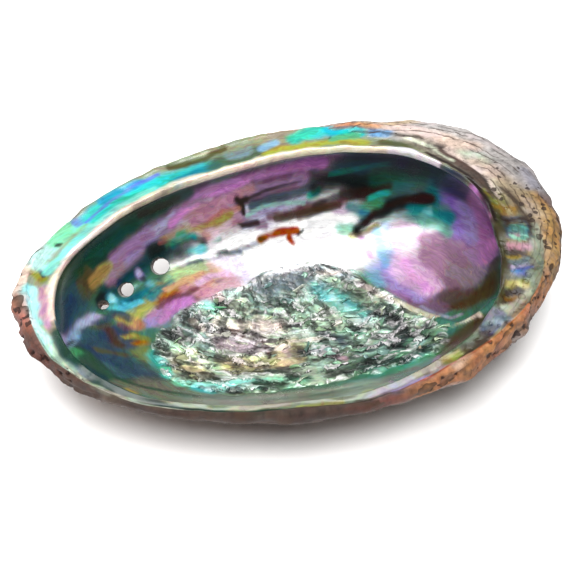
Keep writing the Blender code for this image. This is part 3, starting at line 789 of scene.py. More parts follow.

# %% [markdown]
# ## The strokes
# Each line is one stroke: a name, a colour, a width in millimetres, a strength and a path of
# drawn points in millimetres. Wide washes mostly come first and small marks last. The hollow,
# the inner lip and the crust have their own lists, so that paint on the nacre never reaches
# the crust through the thin rim.

# %% Strokes in the hollow
# Arc ink, arc ink heavy and arc ink left are a painted shadow under the fold over the chamber.
# Chamber brown, chamber dark rim and chamber brown edge are painted shade low in the chamber.
# Far wall, far wall teal, wall green dark, wall brown dark and left green wall are painted shade under the
# shelf's edge on the far left.
# Left wall navy, lower left navy, lower left green, left navy deep, left night and left low navy are painted
# shade on the lower left wall.
# Ridge lavender, ridge blue, left ridge pale, left ridge lilac and row white low are a painted highlight on
# the lit side of the groove.
# Some strokes here paint light and shade rather than colour.
# The strokes named glow, and chamber white, are painted highlights on the wall, the ridge and in the chamber.
# Wall ink, wall ink low, wall dark teal, wall dark under, wall navy end, night middle, night brown, night
# green and night navy are painted shade and a painted dark reflection on the far wall below the shelf.
# White middle, white upper, white low, white left and the other strokes in the glow white are a painted
# highlight where the overhead lamp is mirrored.
HOLLOW_STROKES = read_strokes("""
far wall: bottle_green 6 0.9: -59 7 33, -55 12 33, -44 22 33, -33 30 34
far wall teal: deep_teal 3 0.8: -55 12 33, -50 17 33, -46 20 33
left wall: moss 5 0.8: -63 0 36, -65 -3 33
left wall navy: navy 6 0.8: -60 0 25, -63 -7 26, -66 -23 33
left wall olive: olive_dark 3 0.7: -57 7 28, -56 5 25
left tip: steel 3 0.7: -68 -20 33, -68 -25 32
lower left navy: navy 7 0.85: -59 -14 22, -54 -16 20, -49 -23 18, -45 -27 17
lower left green: bottle_green 5 0.8: -61 -22 24, -56 -26 22, -51 -31 20
wall plum: mauve_grey 6.5 0.8: -15 38 31, -4 42 33, 7 45 32, 23 49 31
wall mauve: mauve_light 4.5 0.65: -27 32 30, -19 37 28, -11 39 29
wall violet: mauve_light 4 0.75: -37 26 28, -31 29 28, -25 33 28
wall ink: ink 6.5 0.9: 13 46 26, 23 48 24, 35 49 24
wall ink low: ink 4 0.85: 19 46 20, 28 48 22, 34 48 21
wall dark teal: deep_teal 4.5 0.85: 28 49 30, 42 49 31, 52 47 29
wall grey: moss 3.5 0.5: 38 49 24, 42 49 25
wall teal end: sea_green 4.5 0.75: 47 48 23, 54 45 22
wall navy end: navy 5 0.85: 57 44 28, 61 41 26, 58 25 39
chamber base: mauve 14 0.9: 50 33 9, 57 23 10, 51 14 7
chamber teal: turquoise_deep 5.5 0.85: 58 41 19, 55 39 15, 57 35 13
chamber violet: violet_light 5 0.85: 62 39 23, 64 34 20, 63 30 16
chamber magenta: orchid 5 0.9: 66 34 25, 68 28 20, 68 21 17, 67 15 15
chamber mauve right: mauve_light 6 0.6: 62 19 12, 64 11 13
chamber pale: grey_green 5 0.7: 44 41 12, 50 40 14, 52 38 13
chamber rose: pink_pearl 6 0.9: 44 36 9, 45 31 7, 43 27 6
chamber lilac: orchid 5 0.8: 40 23 5, 41 15 5, 43 11 6
chamber taupe: taupe 7 0.8: 53 29 9, 55 19 9, 56 9 9
chamber taupe low: taupe 5 0.6: 59 7 11, 58 14 10
chamber brown: brown 5.5 0.9: 52 3 8, 56 -2 11, 62 -1 14
chamber dark rim: brown 3 0.8: 65 3 15, 62 -3 14
chamber blue edge: sky 3.6 0.8: 40 39 10, 39 33 7, 38 28 6
chamber blue low: sky 3 0.8: 33 24 5, 34 19 4
chamber plum low: plum_grey 3 0.8: 41 7 5, 46 2 6, 48 -1 7
chamber edge lilac: lilac 4 0.7: 34 37 9, 34 33 7, 34 29 6
chamber edge orchid: orchid 3 0.6: 31 32 6, 34 34 7
white middle: white_glow 12 0.95: -20 27 14, -9 32 13, 4 34 10, 18 38 10, 26 38 9
white upper: white_glow 7 0.95: -13 34 17, -1 39 18, 13 43 18, 26 44 15
white low: white_glow 6 0.9: -15 24 11, -6 29 10, 11 33 8, 25 32 6
white left: white_glow 5 0.95: -17 27 13, -7 33 14, 5 37 13
white left low: white_glow 3.4 0.9: -14 23 10, -6 28 10, 1 32 9
white left up: white_glow 2.2 0.85: -19 31 17, -13 35 18, -5 38 18
white upper b: white_glow 3 0.9: 12 40 14, 22 43 14, 29 44 14
white left wide: white_glow 3.2 1: -19 32 18, -12 35 18, -5 37 18, 5 39 16
white left low b: white_glow 3.2 1: -17 27 13, -9 32 13, 2 36 13, 12 39 13
white streak grey: plum_grey 0.5 0.9: -14 31 14, -10 33 14, -6 34 14
teal over white: cyan_pale 0.9 0.75: -18 33 18, -14 35 19, -9 37 19
brown over white: plum_grey 1.1 0.85: -6 39 21, 0 41 21, 5 42 21
grey over white: lilac_grey 0.8 0.7: -17 29 14, -10 32 14, -3 35 14
lilac wash: lilac_pale 5 0.7: -17 24 12, -10 26 10
lilac upper: lilac 3.5 0.7: 0 42 23, 8 44 22, 14 46 22
lilac upper pale: lilac_pale 4 0.7: -8 38 22, 0 41 20
mauve streak: plum_grey 1.3 0.8: -9 37 21, -4 38 19, 0 39 18
rose low: rose 4.5 0.8: -26 14 13, -20 17 11, -14 21 10
peach: peach 4 0.8: -27 20 15, -22 20 13, -18 24 12
upper pink edge: rose 2.5 0.7: -19 34 20, -14 36 21, -8 38 23
upper orange edge: amber_pale 1.8 0.7: -32 27 24, -28 31 24, -22 34 23, -19 34 20
pink spot: orchid 2 0.6: 25 46 17, 28 46 17
brown line: brown_red 1.4 0.85: 2 41 19, 8 43 18, 15 45 19, 21 46 19
brown shade: brown_red 2.2 0.5: 13 44 19, 19 46 19
teal spot: leaf 1.8 0.6: 16 46 23, 18 47 23
arc left teal: turquoise_deep 2.2 0.85: 30 46 17, 33 45 16, 34 44 14
arc left blue: blue 1.2 0.7: 33 45 15, 35 45 15
arc upper green: leaf 2 0.6: 35 46 17, 39 46 17
arc mint: mint 2.4 0.8: 26 41 11, 29 41 11
arc olive: olive 1.6 0.85: 29 39 10, 33 41 10, 37 41 11
arc ink: ink 1.9 1: 31 41 11, 36 44 13, 41 45 15, 46 46 16, 52 44 18, 56 43 18
arc ink heavy: ink 2.5 1: 43 46 16, 49 45 17, 54 44 18
row navy: deep_teal 3.6 0.95: -51 8 21, -44 16 22, -37 23 22, -30 27 20, -26 29 18
row ink: ink 2.2 0.95: -37 24 23, -32 26 20, -28 28 19
row ink left: ink 1.8 0.9: -54 -5 27, -51 7 20
row ink mid: deep_teal 2.4 0.9: -46 14 21, -42 18 22
row blue: turquoise_deep 1.6 0.85: -30 28 22, -26 31 21, -23 32 19
row green: leaf 1.4 0.7: -31 28 23, -27 31 22
pink patch: rose_grey 3.2 0.9: -51 11 25, -46 17 26, -41 22 27
pink patch lilac: lilac 2.4 0.75: -44 18 27, -40 23 27, -37 25 28
pink patch gold: gold_dull 2 0.85: -55 7 25, -53 9 26, -52 11 26
row lavender: lilac 1.5 0.9: -41 18 20, -39 13 24
row cyan a: cyan 2 0.85: -25 29 17, -20 31 17
row cyan b: cyan 1.7 0.85: -39 15 17, -36 17 16
row cyan c: cyan 1.6 0.9: -50 7 19, -48 3 24
row cyan d: cyan 1.8 0.95: -50 2 19, -46 3 18
row teal low: turquoise_deep 2.4 0.8: -46 5 18, -41 9 17, -38 12 16
row navy low: deep_teal 1.8 0.85: -44 7 17, -41 13 17, -35 19 16, -29 23 16
row dark streak: deep_teal 1.1 0.8: -31 25 18, -23 26 15, -17 29 14, -9 32 13
row green low: leaf_pale 2.6 0.85: -32 17 16, -28 21 15, -22 25 14
row gold: gold_dull 2.6 0.8: -45 0 17, -39 6 16, -34 14 16
row amber: amber 2 0.8: -37 8 16, -33 12 15, -28 16 14
row brown streak: brown_red 1.2 0.75: -36 8 15, -31 11 13, -25 13 11
row pink: rose 2 0.7: -28 15 13, -22 16 11
row orchid: orchid 2.8 0.9: -39 1 14, -34 6 13, -28 11 12
row orchid low: lilac 2 0.7: -41 -1 15, -36 2 13
row coral: coral 2.2 0.8: -48 -4 18, -44 -2 16
row gold end: gold_dull 1.8 0.8: -49 -2 19, -47 -2 18
ridge lavender: lilac_pale 2 0.9: -66 -29 31, -63 -15 24, -60 -9 22, -55 -2 20
ridge blue: sky 1.6 0.7: -66 -30 31, -60 -10 22, -56 -3 20
below ridge brown: brown 3 0.75: -53 -7 20, -50 -9 18, -51 -12 18
below ridge amber: amber 1.8 0.7: -45 -11 16, -43 -10 15
below ridge olive: olive 3 0.6: -47 -10 17, -44 -14 15, -42 -16 15
tip green: leaf 2.2 0.8: -65 -31 31, -62 -22 24
tip gold: gold 1.4 0.8: -48 -35 20, -46 -35 19
hook: ink_brown 1.1 0.95: -9 40 28, -8 40 27, -7 40 24
hook edge: ink_brown 0.9 0.8: -8 40 27, -5 41 26
chip: rust 1.3 1: -2 36 15, 1 37 16, 7 39 15, 11 40 14
chip drop: rust 1.2 1: 8 38 13, 9 37 11
chip dark: brown 0.7 0.9: -2 36 15, 0 36 15
chip tail: brown 0.5 0.9: 11 39 13, 13 40 14
scar mint low: mint_deep 3.5 0.85: -30 -31 14, -22 -31 14, -8 -31 13, -1 -31 13
scar yellow: butter 5 0.75: -19 -19 10, -12 -18 9, -4 -15 8, 0 -10 7
scar yellow left: butter 3.5 0.6: -34 -20 13, -29 -14 11, -28 -25 13
scar pink: shell_pink 5 0.7: -18 -3 8, -13 -7 7, -8 -8 7
scar cream: cream 4 0.7: -19 2 8, -10 2 7, -2 2 5
scar grey left: slate_pale 6 0.6: -33 0 12, -28 3 10, -24 -4 10
scar cyan left: cyan 2.5 0.6: -40 -16 14, -38 -20 14
scar cyan top: cyan 2.5 0.5: -22 11 10, -20 10 10
scar leaf right: leaf 5 0.7: 32 -17 9, 36 -24 11, 28 -28 13, 20 -31 13
scar top edge: cream 1.4 0.8: 22 27 5, 28 19 5, 33 12 5, 39 4 6, 45 -4 8
scar grey top: slate_pale 2.5 0.6: 21 26 5, 25 22 5
near wall green: olive_grey 6 0.9: -43 -33 17, -30 -37 16, -14 -41 16, 2 -43 16
near wall right: olive_pale 5 0.8: 5 -43 17, 16 -41 16, 23 -53 29
near wall olive: olive_dark 4.5 0.85: 30 -50 30, 46 -22 12, 55 -15 13
near wall brown: brown 4 0.8: 47 -20 12, 54 -15 12, 50 -36 32
near yellow: gold_dull 1.2 0.6: -9 -43 17, -1 -58 29, 15 -44 18, 23 -54 29
right gap: bottle_green 3.2 0.9: 61 -5 35, 60 -12 34, 58 -23 34, 53 -31 32
right gap edge: leaf_dark 1.6 0.7: 60 -13 34, 59 -22 34, 56 -28 32
thin ridge: cream 0.8 0.95: 48 -12 9, 52 -12 11, 56 -11 13, 53 -31 32
thin ridge lilac: lilac_grey 0.9 0.8: 43 4 6, 46 -2 7, 49 -7 9, 52 -7 10
wall magenta left: mauve_light 3 0.85: -22 35 27, -12 39 29, 0 43 29, 13 47 29
wall plum streak: plum 1.6 0.8: -15 38 34, -4 42 35, 13 47 33
wall plum low: plum_grey 1.2 0.8: -4 41 27, 6 44 26, 20 48 25
wall pink low: rose 1.6 0.85: -23 34 25, -19 36 26, -13 38 27
wall gold low: gold_dull 1.2 0.85: -22 34 22, -17 36 22, -11 38 24
wall coral: coral 1.2 0.8: -19 35 23, -13 38 25, -7 40 25
wall blue shade: navy 1.4 0.7: -3 41 25, 2 43 25, 8 44 24
wall pale streak: lilac_pale 1.4 0.8: -3 40 22, 3 42 22, 10 45 22
wall dark under: ink 1.6 0.85: 18 45 19, 25 47 20, 32 48 21
wall brown under: brown_red 1.2 0.7: 12 43 17, 20 45 18, 28 47 19
row ink upper: ink 1.6 0.95: -37 23 22, -31 28 22, -25 31 21, -20 33 19
row teal bright: cyan_deep 1.2 0.9: -30 29 23, -27 31 23, -23 32 21
row green tip: leaf 1 0.85: -28 30 24, -25 32 23, -22 33 21
row gold tip: gold 0.8 0.8: -34 27 25, -30 30 25
row cyan right: cyan 1.4 0.9: -29 27 18, -25 29 17, -21 31 17
row dark right: ink 1 0.9: -31 24 17, -27 26 17, -21 29 16, -17 32 16
row cyan below a: cyan 1 0.9: -32 19 16, -35 16 16, -38 14 17
row ink below a: deep_teal 1.2 0.9: -38 18 17, -40 14 17, -39 11 16
row cyan between: cyan_pale 1.2 0.9: -40 18 19, -39 17 18
row ink between: ink 1 0.95: -43 15 20, -42 15 18, -42 11 17
row cyan low: cyan 1.2 0.9: -42 7 17, -46 4 18, -47 6 18
row teal low b: turquoise_deep 1.6 0.85: -39 9 16, -36 13 16, -32 17 15
row ink low: ink 1.2 0.9: -54 -3 28, -52 7 21, -50 6 19, -51 1 19, -54 1 20
row pale low: cyan_pale 1 0.9: -50 8 20, -48 2 23
row white low: pearl 0.8 0.85: -56 -3 20, -59 -8 21, -61 -11 22
row navy under: navy 1.6 0.8: -55 -5 20, -50 0 19, -47 -1 18
row lime: leaf_pale 1 0.8: -30 21 16, -25 24 15, -20 27 14
row peach line: peach 1 0.85: -34 13 16, -28 18 15, -21 23 13
row brown line b: brown_red 0.9 0.85: -37 6 15, -32 11 14, -28 13 13, -24 17 12
row pink line: pink_pearl 1.2 0.85: -24 18 13, -19 22 12, -14 24 11
row dark line: deep_teal 0.8 0.85: -26 25 16, -20 29 15, -13 31 15
row grey line: plum_grey 0.8 0.75: -18 20 11, -14 23 10, -10 24 9
row orchid line: orchid 1.4 0.9: -37 1 13, -33 6 12, -28 11 12
left green wall: bottle_green 2.4 0.8: -57 8 30, -52 13 30, -47 18 30
left olive wall: olive_dark 1.6 0.75: -59 4 28, -58 2 24, -56 8 29
left navy deep: navy 3 0.85: -53 -11 20, -48 -6 17, -47 -12 16
left olive low: olive 1.6 0.8: -45 -7 16, -42 -8 15
chamber light: pink_pearl 4.6 0.9: 46 37 10, 45 31 7, 42 25 6
chamber lilac low: lilac 3.2 0.8: 38 23 5, 40 16 5, 44 9 6
chamber rose mid: rose_grey 4 0.7: 52 32 10, 52 22 8, 48 14 6
chamber strip: orchid 2.6 0.9: 66 35 24, 68 28 20, 68 21 16
chamber strip violet: lilac_deep 2.2 0.85: 62 39 23, 63 34 19
chamber teal low: turquoise_grey 2.6 0.75: 49 41 14, 54 39 15, 59 37 17
chamber blue line: sky 1.8 0.85: 37 39 10, 37 33 7, 37 27 5
chamber orchid left: orchid 1.6 0.7: 32 38 9, 33 32 6
chamber pink low: pink_pearl 3 0.85: 41 24 5, 43 16 5, 47 10 6
chamber rose low: rose 2.2 0.6: 46 19 6, 49 10 7
chamber brown edge: brown 2.4 0.85: 51 -2 8, 57 -3 11, 63 1 14, 67 9 16
wall orchid a: orchid 1.8 0.95: -24 34 33, -15 38 34, -4 42 34, 10 46 34, 21 49 33
wall rose a: pink_pearl 0.7 0.7: -21 36 30, -10 40 31, 0 43 32
wall plum a: plum 1.6 0.85: -26 34 35, -20 36 36, -12 36 39, 0 39 41, 12 41 40
wall plum b: plum 0.9 0.75: -15 38 31, -8 41 32, 0 43 32, 10 46 31
wall rose b: rose 1.6 0.9: -25 33 28, -18 37 28, -10 39 29, -3 42 30
wall gold b: gold_dull 1 0.85: -25 32 23, -21 34 23, -16 36 23, -10 38 24
wall lilac left: lilac_pale 1.3 0.9: -37 26 28, -33 28 29, -29 31 30
wall magenta spot: orchid 1.5 0.95: -30 30 28, -27 32 29, -25 34 30
wall mauve low: mauve_light 1.8 0.9: -49 15 28, -45 19 28, -40 23 28, -37 26 28
wall tan end: gold_dull 1.6 0.8: -55 7 26, -53 10 27, -50 13 27
wall green dark: bottle_green 2.4 0.9: -54 12 31, -48 18 32, -40 25 33, -31 31 35, -24 34 35
wall brown dark: ink_brown 1.2 0.75: -39 26 35, -33 30 35, -27 33 35
wall triangle: ink_brown 1.1 1: -8 40 28, -7 40 27, -5 41 27
wall triangle low: ink_brown 0.8 1: -7 40 27, -6 40 25, -6 39 23
wall ink line: ink_brown 0.6 0.9: -5 41 27, 0 43 28, 6 45 28, 13 47 28
wall slate band: slate 1.5 0.85: -3 41 24, 3 43 24, 12 46 24, 17 47 26
wall pale line: cyan_pale 0.7 0.9: -5 39 22, 0 42 23, 7 44 22, 14 45 21
wall teal spot: turquoise 1 0.9: 16 46 23, 18 47 23, 19 47 24
wall brown band: brown 1.2 0.9: 4 41 18, 11 43 18, 19 45 18, 26 46 18
wall brown band left: ink_brown 0.9 0.95: -8 37 20, -5 38 19, -2 39 19
pore ink right: ink 1.3 1: -37 24 23, -33 26 22, -30 28 20, -26 29 18
pore ink upper: ink 1 1: -29 28 20, -24 32 20, -19 32 18
pore ink near: navy 0.9 0.95: -39 21 21, -37 23 22, -34 25 20, -31 25 18
pore navy low: navy 1 0.95: -32 22 16, -29 23 16, -25 25 16, -21 27 15
pore green swirl: mint_deep 1.2 0.95: -32 27 22, -29 29 22, -25 31 21
pore orange swirl: coral 0.7 0.85: -34 26 24, -31 28 23, -28 31 24
pore cyan swirl: cyan 1.2 0.95: -24 29 17, -21 30 17, -19 32 17
pore pale swirl: pearl 1.3 0.95: -19 32 17, -14 34 19, -9 37 19
pore white streak: cyan_pale 0.6 0.95: -29 26 17, -23 28 16, -17 31 15
pore dark streak: deep_teal 0.6 0.95: -26 25 16, -20 27 14, -15 30 14, -9 32 13
pore second ring: navy 0.9 0.95: -48 4 26, -46 14 21, -44 15 20, -43 12 18, -44 9 17
pore second navy: ink 1.1 0.9: -43 15 19, -40 17 19, -38 12 23
pore lilac: lilac_pale 1 0.9: -41 18 20, -39 13 25
pore cyan low: cyan_pale 1.3 0.9: -39 14 17, -37 16 17, -35 17 16
chamber pink strip: orchid 2.8 1: 61 17 38, 62 10 36, 69 23 19, 68 16 17
chamber light strip: pink_pearl 1.3 0.7: 68 30 22, 69 24 19, 68 18 16
chamber violet: lilac 2.4 0.8: 64 36 21, 65 30 17, 65 24 14
chamber teal top: turquoise_deep 2.4 0.85: 50 43 15, 55 39 15, 60 35 16
chamber teal light: turquoise_grey 1.8 0.8: 52 39 14, 57 35 14, 59 31 13
chamber navy top: navy 2.2 0.85: 58 43 25, 62 39 25, 66 35 24
chamber olive rim: olive_dark 1 0.9: 63 25 39, 65 18 38, 65 9 37, 63 0 36, 61 -10 35, 59 -19 34, 56 -26 33
arc ink: ink_brown 1.5 1: 34 43 12, 37 45 14, 41 46 15, 47 46 17, 52 44 18, 56 43 19
arc ink left: ink_brown 0.8 1: 29 40 10, 32 42 11, 35 43 12
left night: navy 2.2 0.85: -61 -2 26, -63 -8 25, -64 -14 24
left ridge pale: cyan_pale 0.9 0.9: -61 -10 23, -58 -6 21, -55 -2 20
left ridge lilac: lilac_pale 0.8 0.9: -65 -26 32, -63 -13 23, -60 -10 22
left brown dark: brown 1.8 0.85: -52 -8 19, -51 -12 18, -49 -13 17
left rust spot: amber 0.9 0.8: -45 -11 16, -44 -10 15, -42 -9 14
left olive spot: gold_dull 0.9 0.75: -48 -9 17, -45 -7 16
left steel: steel 1.8 0.6: -54 -22 20, -52 -25 19, -50 -28 19
left leaf edge: mint_grey 0.8 0.8: -67 -31 31, -66 -33 30, -63 -33 31
under band olive: olive_grey 2.6 0.85: -51 -33 20, -40 -36 18, -27 -40 17, -14 -44 17, 2 -44 17, 17 -41 17,
  30 -34 14
under band moss: moss 1 0.85: -43 -33 18, -30 -37 16, -17 -40 16, -1 -42 16, 14 -40 16
under band pale: sage_dim 0.7 0.8: -35 -40 18, -24 -56 29, -12 -58 29, 1 -58 29
under band gold: gold_dull 0.9 0.85: -7 -59 29, -2 -59 29, 2 -58 29
under band gold left: gold_dull 1 0.85: -49 -35 20, -47 -37 20
under band dark: bottle_green 0.8 0.85: -51 -30 20, -44 -33 18, -33 -35 16, -22 -38 15
under band mauve: mauve_grey 0.9 0.7: 22 -41 17, 25 -52 29, 39 -28 13
teal swirl: cyan_pale 1 0.9: -23 29 17, -19 32 17, -15 34 18
chamber magenta wide: orchid 3.2 1: 67 33 24, 69 27 22, 69 22 18, 67 15 15
chamber white: pearl 3.4 0.6: 44 39 11, 46 35 9, 46 30 7
chamber pink: pink_pearl 3.4 0.9: 45 26 6, 47 19 6, 48 12 7
night middle: ink 2.6 0.9: 18 47 25, 26 49 25, 36 49 24
night brown: ink_brown 1.6 0.85: 27 48 21, 35 48 21, 42 48 22
night green: bottle_green 2.4 0.85: 38 49 25, 46 48 27, 53 46 27
night navy: navy 2 0.8: 47 48 31, 51 32 39, 56 26 38
night teal line: sea_green 0.8 0.85: 23 49 28, 33 49 29, 43 49 30
night teal spot: turquoise 0.9 0.8: 36 47 19, 39 47 20, 42 47 20
chamber glow strip: orchid_glow 2.4 0.75: 61 17 38, 62 10 37, 62 4 35, 69 18 17
chamber glow left: orchid_glow 1.8 0.4: 43 27 6, 45 19 6, 47 11 6
wall glow: orchid_glow 1 0.7: -30 30 28, -26 33 29, -21 36 30
wall glow b: orchid_glow 0.8 0.6: -19 37 32, -12 39 32, -4 42 33
ridge glow: cyan_pale 0.8 0.95: -59 -7 21, -56 -3 20, -53 0 19
left navy line: ink 0.7 0.85: -65 -28 32, -61 -14 23, -57 -10 21
left low teal: deep_teal 1.8 0.85: -62 -33 31, -59 -29 24, -55 -31 22
left low navy: navy 1.6 0.8: -59 -18 23, -55 -21 21, -51 -23 18
left low olive: olive_dark 1.2 0.8: -56 -18 21, -52 -17 18, -48 -17 17
""")

# %% [markdown]
# ## The scar's strokes
# The scar's own colours come on top of the hollow's: pale plates, green gaps and a slate patch. The dark
# strokes along the plates' edges, under the slate and in the crevices are painted shadow under the plates.

# %% Strokes on the scar
SCAR_STROKES = read_strokes("""
slate block: slate 4.2 0.9: -4 19 7, 4 23 6, 10 25 6
slate block low: slate_dark 2.6 0.6: -5 12 6, 3 15 5, 8 20 5
slate pale: slate_pale 1.2 0.6: -1 23 7, 3 21 6
slate top edge: dark_flake 0.9 0.9: -7 22 8, -2 27 8, 5 30 7, 13 31 7
slate side: dark_flake 0.6 0.8: 13 30 6, 12 26 6, 8 20 5
slate crack: dark_flake 0.5 0.8: -6 14 7, 0 16 6, 7 17 5
grey edge top: slate_pale 2 0.8: 14 28 6, 19 28 6, 25 23 5
cream edge top: bisque 1.2 0.7: 15 27 6, 22 26 5
turquoise patch wide: turquoise_grey 4.4 0.9: 15 19 5, 19 15 4, 22 9 5
turquoise patch a: turquoise 3.6 0.95: 15 18 5, 19 14 4, 22 8 5, 24 4 5
turquoise patch b: cyan_pale 1.8 0.8: 17 19 5, 18 13 5, 21 9 5
turquoise patch c: mint 1.2 0.7: 18 7 4, 22 3 4
right ground: leaf_dark 6.5 0.9: 18 -28 13, 28 -22 11, 39 -13 8
right deep: dark_flake 1.6 0.8: 14 -27 12, 21 -23 11, 27 -18 9
right deep b: dark_flake 1.4 0.8: 33 -13 8, 39 -9 7, 43 -6 7
right deep c: bottle_green 1.4 0.8: 28 -30 12, 34 -24 11, 41 -18 11
dark by patch: dark_flake 1.4 0.85: 28 4 5, 22 -3 6, 15 -9 7
dark crevice: slate_dark 1.8 0.9: 10 -4 6, 15 -7 6, 15 -14 9
dark blob: ink_brown 2.6 0.85: 33 0 6, 35 -5 6, 30 -11 7
dark blob tail: dark_flake 1.6 0.8: 30 -11 7, 22 -17 9, 18 -17 9
dark left: dark_flake 1.8 0.75: -19 10 9, -15 7 8, -13 4 7
mint left top: mint 2 0.8: -23 10 11, -20 9 9
mint grey left top: mint_grey 2.2 0.8: -15 16 9, -11 17 9, -8 15 7
pale wrinkles: cream_green 1.6 0.8: -10 9 7, -6 7 6
cream plate a: cream 1.5 0.95: -12 4 7, -6 3 6, 0 4 5
cream plate b: shell_pink 3 0.95: -20 -6 9, -15 -7 8, -11 -10 8
cream plate b pale: pearl 1.4 0.7: -17 -4 8, -11 -6 7
cream plate c: cream_pink 2.4 0.95: -3 -11 7, -3 -19 9
yellow plate: butter 2.2 0.9: -16 -19 10, -10 -20 9, -5 -20 9, 1 -18 9
gold green edge: gold_green 1.3 0.7: -20 -19 10, -15 -22 11, -11 -23 10
crack brown: brown 0.9 0.95: -19 0 8, -14 0 7, -9 -3 6, -7 -8 7, -7 -14 8
crack rust: rust_dark 0.8 0.8: -7 -7 7, -6 -14 8
crack low: brown 0.6 0.85: -13 -17 9, -9 -17 9, -6 -14 8
cream plate d: cream 1.1 0.95: -1 -6 7, 3 -7 6, 9 -7 6
ring: dark_flake 0.6 0.9: 0 1 5, 5 3 4, 5 -1 5, 1 -4 6, 0 -1 5
ring middle: slate_pale 1.2 0.8: 3 -1 5
pink fleck: rose 1.3 0.8: 11 -19 9, 14 -21 10
slate low middle: slate 1.8 0.85: 1 -13 8, 5 -14 8, 10 -14 8
mint lower left: leaf_pale 2 0.8: -33 -12 12, -28 -15 11, -24 -19 11
cream lower left: butter 1.4 0.8: -33 -20 13, -28 -22 12
grey lower left: slate_dark 1 0.8: -37 -21 14, -30 -17 12, -25 -12 10
turquoise left: turquoise 2 0.9: -40 -14 14, -39 -18 14, -37 -25 15
right mint a: mint 1.2 0.8: 23 -28 13, 29 -22 11
right mint b: mint_grey 1.3 0.8: 32 -23 11, 38 -16 9
right cream: cream_green 1.1 0.8: 36 -3 6, 39 -8 7
right pale: mist 1 0.8: 41 -7 7, 43 -10 8
turquoise low a: mint 1.8 0.9: -35 -29 15, -29 -29 14, -23 -33 14
turquoise low b: turquoise 1.4 0.85: -31 -31 14, -26 -34 15
mint low c: mint 1.5 0.85: -12 -29 12, -6 -30 13
crack brown: brown 0.8 1: -19 0 9, -15 -2 7, -11 -4 7, -8 -7 7, -7 -10 7, -7 -15 8
crack brown b: rust_dark 0.5 0.9: -8 -8 7, -7 -11 7, -7 -16 9
crack upper: ink_brown 0.6 0.95: -17 2 8, -12 1 7, -9 -2 6, -5 -5 6
cream plate up: cream 1.5 0.95: -10 2 7, -6 4 6, -2 2 5
cream plate low: butter 1.6 0.9: -5 -12 7, -3 -17 9, -6 -21 10, -10 -21 10
pink plate: shell_pink 2 0.9: -20 -8 9, -15 -9 8, -11 -12 8
cream left plate: cream 1.6 0.85: -27 3 10, -25 0 10
dark under slate: dark_flake 0.9 0.95: -13 6 8, -7 9 6, 0 8 5
dark ring: dark_flake 0.7 0.9: 0 2 5, 3 3 5, 6 0 5, 3 -5 6, 0 -3 6
dark crevice b: ink 1 0.9: 10 -5 6, 13 -7 6, 17 -7 7
dark right wide: dark_flake 2.2 0.85: 30 4 5, 33 -2 5, 34 -11 8, 30 -16 8
dark right low: dark_flake 1.4 0.8: 16 -21 10, 21 -17 9, 27 -14 8
cream dot right: cream_green 0.8 0.9: 23 -8 7, 26 -7 6
""")
